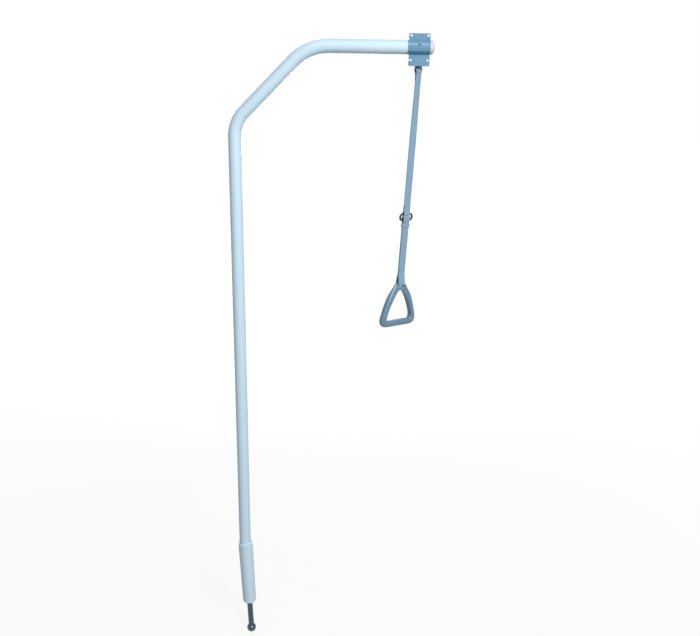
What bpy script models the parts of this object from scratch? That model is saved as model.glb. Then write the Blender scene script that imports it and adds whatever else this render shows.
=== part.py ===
"""Bed trapeze: a bent lifting pole with a socket spigot, a clamp bracket, a webbing strap and a hand grip.

The frame has +Z up along the upright, +X along the arm and its origin at the centre of the socket
sleeve's lower end. Lengths are in metres.
"""

import math

import bmesh
import bpy
from mathutils import Matrix, Vector

# Running and seating clearances
SEAT_GAP = 0.0003
FIT_GAP = 0.0004
CUT_OVERRUN = 0.010

# Pole tube
TUBE_DIAMETER = 0.038
TUBE_WALL = 0.002
ARM_HEIGHT = 1.848
ARM_REACH = 0.556
DIAGONAL_RUN = 0.213
LOWER_BEND_RADIUS = 0.100
UPPER_BEND_RADIUS = 0.150
SEAM_HEIGHT = 0.512
FERRULE_LENGTH = 0.160
FERRULE_WALL = 0.003

# Spigot, canted a little so that the pole leans back from its socket
CANT = math.radians(2.3)
CANT_HEIGHT = 0.258
CANT_BEND_RADIUS = 0.300
SLEEVE_LENGTH = 0.234
SLEEVE_TOP_RADIUS = 0.0246
SLEEVE_FOOT_RADIUS = 0.0226
SLEEVE_FLOOR = 0.006
SLEEVE_EDGE = 0.0012
CORE_LENGTH = 0.050
PIN_RADIUS = 0.0095
PIN_DROP = 0.102
PIN_SEAT_DEPTH = 0.038
STUD_RADIUS = 0.005
STUD_LENGTH = 0.010
BALL_RADIUS = 0.0155

# Cap on the arm's end
CAP_LENGTH = 0.0125
CAP_EDGE = 0.006
CAP_PLUG_LENGTH = 0.022

# Clamp bracket: two pressed plates bolted round the arm
CLAMP_WIDTH = 0.060
CLAMP_THICKNESS = 0.003
CLAMP_TOP = 0.0365
CLAMP_BOTTOM = 0.050
CLAMP_CORNER = 0.004
CLAMP_EDGE = 0.0006
FLANGE_GAP = 0.011
BOLT_RADIUS = 0.0025
BOLT_HEAD_RADIUS = 0.0046
BOLT_HEAD_HEIGHT = 0.0026
BOLT_SPREAD = 0.0233
UPPER_BOLT_RISE = 0.0300
LOWER_BOLT_DROP = 0.0350
NUT_ACROSS_FLATS = 0.008
NUT_HEIGHT = 0.004
BOLT_END = 0.002
LOCATING_SCREW_TILT = math.radians(15)
LOCATING_SCREW_REACH = 0.0040

# Hanger: a block between the plates with a swivelling eye
BLOCK_WIDTH = 0.056
BLOCK_TOP_DROP = 0.0283
LIP_WIDTH = 0.021
LIP_DROP = 0.0028
LIP_OVERLAP = 0.002
STEM_RADIUS = 0.003
STEM_END = 0.0005
COLLAR_RADIUS = 0.0050
COLLAR_HEIGHT = 0.005
EYE_WIRE_RADIUS = 0.002
EYE_INSIDE_WIDTH = 0.027
EYE_INSIDE_HEIGHT = 0.0042
EYE_CORNER = 0.003

# Strap
WEBBING_WIDTH = 0.025
WEBBING_THICKNESS = 0.0016
STRAP_LEAN = math.radians(2.7)
LEAN_RUN = 0.060
YAW_AT_EYE = math.radians(50)
YAW_AT_HANDLE = math.radians(39)
TWIST_START = 0.020
TWIST_RUN = 0.200
UPPER_STRAP_LENGTH = 0.405
LOWER_STRAP_LENGTH = 0.197
FOLD_LENGTH = 0.012
SEWN_LENGTH = 0.026
SEWN_STEP = 0.001
LEAF_GAP = 0.0008
HANDLE_FLARE = 0.040

# Ring between the two straps
RING_WIRE_RADIUS = 0.0025
RING_HALF_WIDTH = 0.0195
RING_BAR_SPACING = 0.017
RING_CORNER = 0.007

# Keeper round the lower strap
KEEPER_DROP = 0.015
KEEPER_HEIGHT = 0.011
KEEPER_WALL = 0.0016

# Hand grip, measured from the bar that the strap goes round
GRIP_SECTION_RADIUS = 0.0080
GRIP_DEPTH = 0.020
NECK_DEPTH = 0.0104
BAR_RADIUS = 0.0050
BAR_WRAP = 0.0005
NECK_LENGTH = 0.045
NECK_TOP = 0.0050
NECK_HALF_WIDTH = 0.0185
SHOULDER_DROP = 0.0240
SHOULDER_HALF_WIDTH = 0.0385
WAIST_DROP = 0.0700
WAIST_HALF_WIDTH = 0.0580
GRIP_HALF_WIDTH = 0.0670
GRIP_CORNER_DROP = 0.1080
GRIP_FOOT_DROP = 0.1320
GRIP_FOOT_HALF_WIDTH = 0.0440
HOLE_TOP_DROP = 0.0205
LIMB_WIDTH = 0.0170
BAR_HEIGHT = 0.0180
SLOT_HALF_WIDTH = 0.0138
SLOT_DEPTH = 0.0122
HOLE_TOP_HALF_WIDTH = 0.0060
HOLE_SHOULDER_DROP = 0.0340
HOLE_SHOULDER_HALF_WIDTH = 0.0255
HOLE_CORNER_DROP = 0.1040
HOLE_CORNER_RUN = 0.0120

# Facet counts
ROUND_STEPS = 24
SMALL_STEPS = 12
BEND_STEPS = 8

# Worked out from the sizes above
TUBE_RADIUS = TUBE_DIAMETER / 2
TUBE_BORE = TUBE_RADIUS - TUBE_WALL
POLE_X = -math.tan(CANT) * CANT_HEIGHT
CLAMP_X = POLE_X + ARM_REACH - CLAMP_WIDTH / 2
CROWN_RADIUS = TUBE_RADIUS + SEAT_GAP
FLANGE_Y = FLANGE_GAP / 2
LIP_Z = ARM_HEIGHT - CLAMP_BOTTOM - LIP_DROP
EYE_TOP_Z = LIP_Z - SEAT_GAP - EYE_WIRE_RADIUS
EYE_BAR_Z = EYE_TOP_Z - EYE_INSIDE_HEIGHT - 2 * EYE_WIRE_RADIUS
RING_TOP_S = UPPER_STRAP_LENGTH
RING_BOTTOM_S = RING_TOP_S + RING_BAR_SPACING
HANDLE_S = RING_BOTTOM_S + LOWER_STRAP_LENGTH
SPIGOT = Matrix.Rotation(-CANT, 4, "Y")


def clear_scene():
    for obj in list(bpy.data.objects):
        bpy.data.objects.remove(obj, do_unlink=True)


def new_collection(name):
    made = bpy.data.collections.new(name)
    bpy.context.scene.collection.children.link(made)
    return made


def paint(name, colour, roughness, metallic=0.0):
    made = bpy.data.materials.new(name)
    made.use_nodes = True
    shader = made.node_tree.nodes["Principled BSDF"]
    shader.inputs["Base Color"].default_value = (*colour, 1)
    shader.inputs["Roughness"].default_value = roughness
    shader.inputs["Metallic"].default_value = metallic
    return made


def place(name, mesh, material, matrix=None):
    """Links a mesh as one named piece of the trapeze, at the matrix given."""
    obj = bpy.data.objects.new(name, mesh)
    obj.matrix_world = matrix or Matrix.Identity(4)
    mesh.materials.clear()
    mesh.materials.append(material)
    mesh.shade_smooth()
    mesh.set_sharp_from_angle(angle=math.radians(35))
    pieces.objects.link(obj)
    return obj


def mesh_from(bm, name):
    mesh = bpy.data.meshes.new(name)
    bm.to_mesh(mesh)
    bm.free()
    return mesh


def baked(obj):
    """The object's evaluated mesh, welded, with the object itself removed."""
    bpy.context.view_layer.update()
    graph = bpy.context.evaluated_depsgraph_get()
    mesh = bpy.data.meshes.new_from_object(obj.evaluated_get(graph))
    mesh.transform(obj.matrix_world)
    bm = bmesh.new()
    bm.from_mesh(mesh)
    bmesh.ops.remove_doubles(bm, verts=bm.verts, dist=1e-6)
    bmesh.ops.recalc_face_normals(bm, faces=bm.faces)
    bm.to_mesh(mesh)
    bm.free()
    bpy.data.objects.remove(obj, do_unlink=True)
    return mesh


def turned(name, profile, material, matrix, steps=ROUND_STEPS):
    """A piece turned about its Z axis from a profile of (radius, height) that runs down its outer side."""
    mesh = bpy.data.meshes.new(name)
    closed = profile[0][0] > 0
    edges = [(i, i + 1) for i in range(len(profile) - 1)]
    if closed:
        edges.append((len(profile) - 1, 0))
    mesh.from_pydata([(radius, 0, height) for radius, height in profile], edges, [])
    obj = place(name, mesh, material, matrix)
    screw = obj.modifiers.new("turn", "SCREW")
    screw.steps = screw.render_steps = steps
    screw.use_merge_vertices = True
    screw.merge_threshold = 1e-5
    return obj


def curve_object(name, points, radius, cyclic=False, caps=True, rings=4):
    """A round bar along a polyline; rings sets how many sides it has."""
    data = bpy.data.curves.new(name, "CURVE")
    data.dimensions = "3D"
    data.bevel_depth = radius
    data.bevel_resolution = rings
    data.use_fill_caps = caps
    spline = data.splines.new("POLY")
    spline.points.add(len(points) - 1)
    for at, point in zip(spline.points, points):
        at.co = (*point, 1)
    spline.use_cyclic_u = cyclic
    obj = bpy.data.objects.new(name, data)
    pieces.objects.link(obj)
    return obj


def flat_mesh(name, outlines, half_depth, bevel=0.0, rings=3):
    """A flat plate from closed outlines of (x, y), the first one outside and the rest holes."""
    data = bpy.data.curves.new(name, "CURVE")
    data.dimensions = "2D"
    data.fill_mode = "BOTH"
    data.extrude = half_depth
    data.bevel_depth = bevel
    data.bevel_resolution = rings
    for outline in outlines:
        spline = data.splines.new("POLY")
        spline.points.add(len(outline) - 1)
        for at, point in zip(spline.points, outline):
            at.co = (*point, 0, 1)
        spline.use_cyclic_u = True
    obj = bpy.data.objects.new(name, data)
    pieces.objects.link(obj)
    return baked(obj)


def rod_cutter(name, start, end, radius, steps=16):
    """A cylinder between two points that cuts holes and is not a piece itself."""
    start, end = Vector(start), Vector(end)
    bm = bmesh.new()
    bmesh.ops.create_cone(
        bm, cap_ends=True, segments=steps, radius1=radius, radius2=radius, depth=(end - start).length
    )
    obj = bpy.data.objects.new(name, mesh_from(bm, name))
    turn = Vector((0, 0, 1)).rotation_difference(end - start).to_matrix().to_4x4()
    obj.matrix_world = Matrix.Translation((start + end) / 2) @ turn
    return hide(obj)


def box_mesh(name, size):
    bm = bmesh.new()
    bmesh.ops.create_cube(bm, size=1)
    bmesh.ops.scale(bm, vec=size, verts=bm.verts)
    return mesh_from(bm, name)


def hide(obj):
    obj.hide_render = True
    obj.display_type = "WIRE"
    cutters.objects.link(obj)
    return obj


def combine(obj, other, operation="DIFFERENCE"):
    modifier = obj.modifiers.new(other.name, "BOOLEAN")
    modifier.operation = operation
    modifier.solver = "EXACT"
    modifier.object = other


def filleted(corners, radii, steps=BEND_STEPS, closed=False):
    """A polyline through the corners with an arc of each radius in place of the sharp corner."""
    points = []
    count = len(corners)
    for i, (corner, radius) in enumerate(zip(corners, radii)):
        corner = Vector(corner)
        if not radius or (not closed and i in (0, count - 1)):
            points.append(corner)
            continue
        back = (Vector(corners[i - 1]) - corner).normalized()
        ahead = (Vector(corners[(i + 1) % count]) - corner).normalized()
        half = back.angle(ahead) / 2
        centre = corner + (back + ahead).normalized() * radius / math.sin(half)
        first = corner + back * radius / math.tan(half) - centre
        last = corner + ahead * radius / math.tan(half) - centre
        sweep = first.angle(last)
        for step in range(steps + 1):
            share = step / steps
            near = math.sin((1 - share) * sweep) / math.sin(sweep)
            far = math.sin(share * sweep) / math.sin(sweep)
            points.append(centre + first * near + last * far)
    return points


def smooth(share):
    share = min(max(share, 0), 1)
    return share * share * (3 - 2 * share)


def strap_frame(s):
    """Frame on the strap's centre line, s below the eye's bar: X across, Y through, Z up the strap."""
    steps = 40
    point = Vector((CLAMP_X, 0, EYE_BAR_Z))
    if s < 0:
        point.z -= s
    for step in range(steps):
        lean = STRAP_LEAN * smooth(max(s, 0) * (step + 0.5) / steps / LEAN_RUN)
        point += Vector((-math.sin(lean), 0, -math.cos(lean))) * max(s, 0) / steps
    lean = STRAP_LEAN * smooth(s / LEAN_RUN)
    up = Vector((math.sin(lean), 0, math.cos(lean)))
    yaw = YAW_AT_EYE + (YAW_AT_HANDLE - YAW_AT_EYE) * smooth((s - TWIST_START) / TWIST_RUN)
    across = Vector((math.cos(yaw), math.sin(yaw), 0))
    across = (across - up * across.dot(up)).normalized()
    through = up.cross(across)
    turn = Matrix((across, through, up)).transposed().to_4x4()
    return Matrix.Translation(point) @ turn


def hung(mesh):
    """Moves a mesh of (through, distance down, across) points onto the strap's centre line."""
    for vertex in mesh.vertices:
        through, s, across = vertex.co
        vertex.co = strap_frame(s) @ Vector((across, through, 0))
    mesh.update()
    bm = bmesh.new()
    bm.from_mesh(mesh)
    bmesh.ops.recalc_face_normals(bm, faces=bm.faces)
    bm.to_mesh(mesh)
    bm.free()
    return mesh


def make_pole(white):
    top = (POLE_X, 0, ARM_HEIGHT - DIAGONAL_RUN)
    knee = (POLE_X + DIAGONAL_RUN, 0, ARM_HEIGHT)
    start = (POLE_X, 0, SEAM_HEIGHT + SEAT_GAP)
    end = (POLE_X + ARM_REACH, 0, ARM_HEIGHT)
    route = filleted([start, top, knee, end], [0, LOWER_BEND_RADIUS, UPPER_BEND_RADIUS, 0])
    skin = baked(curve_object("pole_path", route, TUBE_RADIUS, caps=False, rings=10))
    pole = place("pole_tube", skin, white)
    hollow(pole, TUBE_WALL)

    foot = SPIGOT @ Vector((0, 0, SLEEVE_FLOOR + SEAT_GAP))
    bend = (POLE_X, 0, CANT_HEIGHT)
    seam = (POLE_X, 0, SEAM_HEIGHT)
    route = filleted([foot, bend, seam], [0, CANT_BEND_RADIUS, 0], steps=3)
    skin = baked(curve_object("lower_path", route, TUBE_RADIUS, caps=False, rings=10))
    lower = place("lower_tube", skin, white)
    hollow(lower, TUBE_WALL)
    return pole


def hollow(obj, wall):
    shell = obj.modifiers.new("wall", "SOLIDIFY")
    shell.thickness = wall
    shell.offset = -1
    shell.use_even_offset = True


def make_ferrule(steel):
    outer = TUBE_BORE - FIT_GAP
    inner = outer - FERRULE_WALL
    half = FERRULE_LENGTH / 2
    profile = [(outer, half), (outer, -half), (inner, -half), (inner, half)]
    turned("joint_ferrule", profile, steel, Matrix.Translation((POLE_X, 0, SEAM_HEIGHT)))


def make_spigot(plastic, steel):
    bore = TUBE_RADIUS + FIT_GAP
    hole = PIN_RADIUS + FIT_GAP
    top = SLEEVE_LENGTH
    profile = [
        (SLEEVE_TOP_RADIUS - SLEEVE_EDGE, top),
        (SLEEVE_TOP_RADIUS, top - SLEEVE_EDGE),
        (SLEEVE_FOOT_RADIUS, SLEEVE_EDGE),
        (SLEEVE_FOOT_RADIUS - SLEEVE_EDGE, 0),
        (hole, 0),
        (hole, SLEEVE_FLOOR),
        (bore, SLEEVE_FLOOR),
        (bore, top),
    ]
    turned("socket_sleeve", profile, plastic, SPIGOT)

    outer = TUBE_BORE - FIT_GAP
    base = SLEEVE_FLOOR + SEAT_GAP
    seat = SLEEVE_FLOOR + PIN_SEAT_DEPTH
    profile = [
        (0, base + CORE_LENGTH),
        (outer, base + CORE_LENGTH),
        (outer, base),
        (hole, base),
        (hole, seat + SEAT_GAP),
        (0, seat + SEAT_GAP),
    ]
    turned("spigot_core", profile, steel, SPIGOT)

    profile = [
        (0, seat),
        (PIN_RADIUS, seat),
        (PIN_RADIUS, -PIN_DROP),
        (STUD_RADIUS, -PIN_DROP),
        (STUD_RADIUS, -PIN_DROP - STUD_LENGTH),
        (0, -PIN_DROP - STUD_LENGTH),
    ]
    turned("locating_pin", profile, steel, SPIGOT)

    flat = math.sqrt(BALL_RADIUS**2 - PIN_RADIUS**2)
    centre = -PIN_DROP - SEAT_GAP - flat
    start = math.atan2(flat, PIN_RADIUS)
    steps = 10
    arc = []
    for step in range(steps):
        angle = start - (start + math.pi / 2) * step / steps
        arc.append((BALL_RADIUS * math.cos(angle), centre + BALL_RADIUS * math.sin(angle)))
    stud = STUD_RADIUS + FIT_GAP
    stud_end = -PIN_DROP - STUD_LENGTH - SEAT_GAP
    profile = [(0, stud_end), (stud, stud_end), (stud, centre + flat), *arc, (0, centre - BALL_RADIUS)]
    turned("ball_tip", profile, steel, SPIGOT)


def make_end_cap(plastic):
    """Turned about the arm's axis, with a plug that fills the tube's open end."""
    radius = TUBE_RADIUS
    plug = TUBE_BORE - FIT_GAP
    steps = 5
    arc = []
    for step in range(steps + 1):
        angle = math.pi / 2 * (1 - step / steps)
        reach = radius - CAP_EDGE + CAP_EDGE * math.cos(angle)
        arc.append((reach, CAP_LENGTH - CAP_EDGE + CAP_EDGE * math.sin(angle)))
    profile = [(0, CAP_LENGTH), *arc, (radius, 0), (plug, 0), (plug, -CAP_PLUG_LENGTH), (0, -CAP_PLUG_LENGTH)]
    end = Matrix.Translation((POLE_X + ARM_REACH + SEAT_GAP, 0, ARM_HEIGHT))
    turned("arm_end_cap", profile, plastic, end @ Matrix.Rotation(math.pi / 2, 4, "Y"))


def clamp_plate(name, side, material):
    """One pressed plate, side -1 in front and +1 behind: two flanges with a half-round crown between them."""
    steps = 14
    reach = math.asin(FLANGE_Y / CROWN_RADIUS)
    section = [(FLANGE_Y, CLAMP_TOP)]
    for step in range(steps + 1):
        angle = math.pi / 2 - reach - (math.pi - 2 * reach) * step / steps
        section.append((CROWN_RADIUS * math.cos(angle), CROWN_RADIUS * math.sin(angle)))
    section.append((FLANGE_Y, -CLAMP_BOTTOM))
    bm = bmesh.new()
    half = CLAMP_WIDTH / 2
    rows = [[bm.verts.new((x, side * y, z)) for x in (-half, half)] for y, z in section]
    for (a, b), (c, d) in zip(rows, rows[1:]):
        bm.faces.new((a, b, d, c))
    corners = [*rows[0], *rows[-1]]
    bmesh.ops.bevel(bm, geom=corners, offset=CLAMP_CORNER, segments=3, profile=0.5, affect="VERTICES")
    bmesh.ops.recalc_face_normals(bm, faces=bm.faces)
    if sum(face.normal.y for face in bm.faces) * side < 0:
        bmesh.ops.reverse_faces(bm, faces=bm.faces)
    plate = place(name, mesh_from(bm, name), material, Matrix.Translation((CLAMP_X, 0, ARM_HEIGHT)))
    sheet = plate.modifiers.new("sheet", "SOLIDIFY")
    sheet.thickness = CLAMP_THICKNESS
    sheet.offset = 1
    sheet.use_even_offset = True
    edge = plate.modifiers.new("edge", "BEVEL")
    edge.width = CLAMP_EDGE
    edge.segments = 1
    edge.limit_method = "ANGLE"
    edge.angle_limit = math.radians(35)
    return plate


def bolt_places():
    """The four bolt centres as (corner name, x, z)."""
    return [
        ("top_left", CLAMP_X - BOLT_SPREAD, ARM_HEIGHT + UPPER_BOLT_RISE),
        ("top_right", CLAMP_X + BOLT_SPREAD, ARM_HEIGHT + UPPER_BOLT_RISE),
        ("bottom_left", CLAMP_X - BOLT_SPREAD, ARM_HEIGHT - LOWER_BOLT_DROP),
        ("bottom_right", CLAMP_X + BOLT_SPREAD, ARM_HEIGHT - LOWER_BOLT_DROP),
    ]


def bolt_profile(shank, head, height, length):
    """Domed head above z = 0 and a plain shank below it."""
    return [
        (0, height),
        (head * 0.55, height * 0.92),
        (head * 0.85, height * 0.62),
        (head, height * 0.15),
        (head, 0),
        (shank, 0),
        (shank, -length),
        (0, -length),
    ]


def nut_mesh():
    corner = NUT_ACROSS_FLATS / math.sqrt(3)
    bm = bmesh.new()
    bmesh.ops.create_cone(
        bm, cap_ends=True, segments=6, radius1=corner, radius2=corner, depth=NUT_HEIGHT
    )
    nut = bpy.data.objects.new("nut_blank", mesh_from(bm, "nut_blank"))
    pieces.objects.link(nut)
    bore = rod_cutter("nut_bore", (0, 0, -NUT_HEIGHT), (0, 0, NUT_HEIGHT), BOLT_RADIUS + FIT_GAP)
    combine(nut, bore)
    return baked(nut)


def make_clamp(pole, blue, steel):
    front = clamp_plate("clamp_front", -1, blue)
    back = clamp_plate("clamp_back", 1, blue)
    face = FLANGE_Y + CLAMP_THICKNESS + SEAT_GAP
    nut = nut_mesh()
    length = 2 * face + NUT_HEIGHT + BOLT_END
    profile = bolt_profile(BOLT_RADIUS, BOLT_HEAD_RADIUS, BOLT_HEAD_HEIGHT, length)
    for corner, x, z in bolt_places():
        reach = face + CUT_OVERRUN
        hole = rod_cutter(f"hole_{corner}", (x, -reach, z), (x, reach, z), BOLT_RADIUS + FIT_GAP)
        combine(front, hole)
        combine(back, hole)
        seat = Matrix.Translation((x, -face, z)) @ Matrix.Rotation(math.pi / 2, 4, "X")
        turned(f"clamp_bolt_{corner}", profile, steel, seat, SMALL_STEPS)
        behind = Matrix.Translation((x, face + NUT_HEIGHT / 2, z))
        copy = nut.copy()
        place(f"clamp_nut_{corner}", copy, steel, behind @ Matrix.Rotation(math.pi / 2, 4, "X"))

    axis = Vector((0, -math.cos(LOCATING_SCREW_TILT), math.sin(LOCATING_SCREW_TILT)))
    middle = Vector((CLAMP_X, 0, ARM_HEIGHT))
    crown = CROWN_RADIUS + CLAMP_THICKNESS
    start, end = TUBE_BORE - CUT_OVERRUN, crown + CUT_OVERRUN
    hole = rod_cutter("hole_locating", middle + axis * start, middle + axis * end, BOLT_RADIUS + FIT_GAP)
    combine(front, hole)
    combine(pole, hole)
    turn = Vector((0, 0, 1)).rotation_difference(axis).to_matrix().to_4x4()
    seat = Matrix.Translation(middle + axis * (crown + SEAT_GAP)) @ turn
    depth = crown - TUBE_BORE + LOCATING_SCREW_REACH - CLAMP_THICKNESS
    profile = bolt_profile(BOLT_RADIUS, BOLT_HEAD_RADIUS, BOLT_HEAD_HEIGHT, depth)
    turned("locating_screw", profile, steel, seat, SMALL_STEPS)


def make_hanger(black, steel):
    bottom = ARM_HEIGHT - CLAMP_BOTTOM + SEAT_GAP
    depth = FLANGE_GAP - 2 * SEAT_GAP
    tall = ARM_HEIGHT - BLOCK_TOP_DROP - bottom
    block = place("hanger_block", box_mesh("block", (BLOCK_WIDTH, depth, tall)), black)
    block.location = (CLAMP_X, 0, bottom + tall / 2)
    tall = bottom - LIP_Z + LIP_OVERLAP
    lip = bpy.data.objects.new("lip", box_mesh("lip", (LIP_WIDTH, depth, tall)))
    lip.location = (CLAMP_X, 0, LIP_Z + tall / 2)
    combine(block, hide(lip), "UNION")
    low, high = LIP_Z - CUT_OVERRUN, ARM_HEIGHT - BLOCK_TOP_DROP + CUT_OVERRUN
    bore = rod_cutter("stem_bore", (CLAMP_X, 0, low), (CLAMP_X, 0, high), STEM_RADIUS + FIT_GAP)
    combine(block, bore)
    for corner, x, z in bolt_places()[2:]:
        combine(block, bpy.data.objects[f"hole_{corner}"])

    stem_top = ARM_HEIGHT - BLOCK_TOP_DROP + SEAT_GAP + COLLAR_HEIGHT + STEM_END
    high = EYE_TOP_Z - EYE_BAR_Z
    half = EYE_INSIDE_WIDTH / 2 + EYE_WIRE_RADIUS
    corners = [(-half, 0, 0), (half, 0, 0), (half, 0, high), (-half, 0, high)]
    route = filleted(corners, [EYE_CORNER] * 4, steps=4, closed=True)
    loop = baked(curve_object("eye_path", route, EYE_WIRE_RADIUS, cyclic=True, rings=3))
    eye = place("hanger_eye", loop, steel, strap_frame(0))
    stem = rod_cutter("stem", (CLAMP_X, 0, EYE_TOP_Z - STEM_END), (CLAMP_X, 0, stem_top), STEM_RADIUS)
    combine(eye, stem, "UNION")

    bore = STEM_RADIUS + FIT_GAP
    profile = [(COLLAR_RADIUS, COLLAR_HEIGHT), (COLLAR_RADIUS, 0), (bore, 0), (bore, COLLAR_HEIGHT)]
    seat = Matrix.Translation((CLAMP_X, 0, ARM_HEIGHT - BLOCK_TOP_DROP + SEAT_GAP))
    turned("eye_collar", profile, steel, seat, 16)


def fold_outline(radius, centre, steps=8):
    """Half a round fold about a bar: points from its left side over the far side to its right side."""
    points = []
    for step in range(steps + 1):
        angle = math.pi * (1 - step / steps)
        points.append((radius * math.cos(angle), centre - radius * math.sin(angle)))
    return points


def make_upper_strap(cloth):
    thick = WEBBING_THICKNESS
    top_inner = EYE_WIRE_RADIUS + FIT_GAP
    low_inner = RING_WIRE_RADIUS + FIT_GAP
    end = RING_TOP_S
    sewn_end = SEWN_LENGTH + SEWN_STEP
    stations = [(FOLD_LENGTH, thick), (SEWN_LENGTH, thick), (sewn_end, thick / 2)]
    span = end - 2 * SEWN_LENGTH
    count = 20
    for step in range(1, count):
        stations.append((SEWN_LENGTH + span * step / count, thick / 2))
    stations += [(end - sewn_end, thick / 2), (end - SEWN_LENGTH, thick), (end - FOLD_LENGTH, thick)]
    right = [(half, s) for s, half in stations]
    left = [(-half, s) for s, half in reversed(stations)]
    top = fold_outline(top_inner + thick, 0)
    bottom = [(-x, 2 * end - s) for x, s in fold_outline(low_inner + thick, end)]
    outer = top + right + bottom + left
    top_hole = fold_outline(top_inner, 0) + [(0, FOLD_LENGTH - thick)]
    low_hole = [(-x, 2 * end - s) for x, s in fold_outline(low_inner, end)] + [(0, end - FOLD_LENGTH + thick)]
    mesh = flat_mesh("upper_outline", [outer, top_hole, low_hole], WEBBING_WIDTH / 2)
    place("upper_strap", hung(mesh), cloth)


def leaf_half(s):
    """Half the space between the lower strap's two leaves, s below the eye's bar."""
    pinch = LEAF_GAP / 2
    near_ring = smooth((s - RING_BOTTOM_S) / FOLD_LENGTH)
    near_grip = smooth((HANDLE_S - s) / HANDLE_FLARE)
    ring_side = (RING_WIRE_RADIUS + FIT_GAP - pinch) * (1 - near_ring)
    return pinch + ring_side + (BAR_RADIUS + BAR_WRAP - pinch) * (1 - near_grip)


def make_lower_strap(cloth):
    thick = WEBBING_THICKNESS
    inner = RING_WIRE_RADIUS + FIT_GAP
    count = 18
    stations = [RING_BOTTOM_S + LOWER_STRAP_LENGTH * step / count for step in range(1, count)]
    near_ring = [RING_BOTTOM_S + FOLD_LENGTH * share for share in (0.25, 0.5)]
    stations = [*near_ring, *stations]
    wrap = BAR_RADIUS + BAR_WRAP
    steps = 10

    def outline(extra):
        top = fold_outline(inner + extra, RING_BOTTOM_S)
        right = [(leaf_half(s) + extra, s) for s in stations]
        bottom = []
        for step in range(steps + 1):
            angle = math.pi * step / steps
            radius = wrap + extra
            bottom.append((radius * math.cos(angle), HANDLE_S + radius * math.sin(angle)))
        left = [(-leaf_half(s) - extra, s) for s in reversed(stations)]
        return top + right + bottom + left

    mesh = flat_mesh("lower_outline", [outline(thick), outline(0)], WEBBING_WIDTH / 2)
    place("lower_strap", hung(mesh), cloth)

    deep = LEAF_GAP / 2 + thick + FIT_GAP
    wide = WEBBING_WIDTH / 2 + FIT_GAP
    hole = [(-wide, -deep), (wide, -deep), (wide, deep), (-wide, deep)]
    wall = KEEPER_WALL
    wide, deep = wide + wall, deep + wall
    corners = [(-wide, -deep, 0), (wide, -deep, 0), (wide, deep, 0), (-wide, deep, 0)]
    rim = [(x, y) for x, y, z in filleted(corners, [wall] * 4, steps=3, closed=True)]
    mesh = flat_mesh("keeper_outline", [rim, hole], KEEPER_HEIGHT / 2)
    middle = strap_frame(RING_BOTTOM_S + KEEPER_DROP + KEEPER_HEIGHT / 2)
    place("strap_keeper", mesh, cloth, middle)


def make_ring(steel):
    half, high = RING_HALF_WIDTH, RING_BAR_SPACING
    corners = [(-half, 0, 0), (half, 0, 0), (half, 0, -high), (-half, 0, -high)]
    route = filleted(corners, [RING_CORNER] * 4, steps=5, closed=True)
    mesh = baked(curve_object("ring_path", route, RING_WIRE_RADIUS, cyclic=True, rings=3))
    place("strap_ring", mesh, steel, strap_frame(RING_TOP_S))


def bowed(points, steps):
    """A smooth open curve through the points, each a (half width, drop) pair."""
    ends = [points[0], *points, points[-1]]
    curve = []
    for a, b, c, d in zip(ends, ends[1:], ends[2:], ends[3:]):
        for step in range(steps):
            t = step / steps
            spot = []
            for p, q, r, u in zip(a, b, c, d):
                blend = 2 * q + (r - p) * t + (2 * p - 5 * q + 4 * r - u) * t**2
                spot.append((blend + (3 * q - p - 3 * r + u) * t**3) / 2)
            curve.append(tuple(spot))
    curve.append(points[-1])
    return curve


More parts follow.
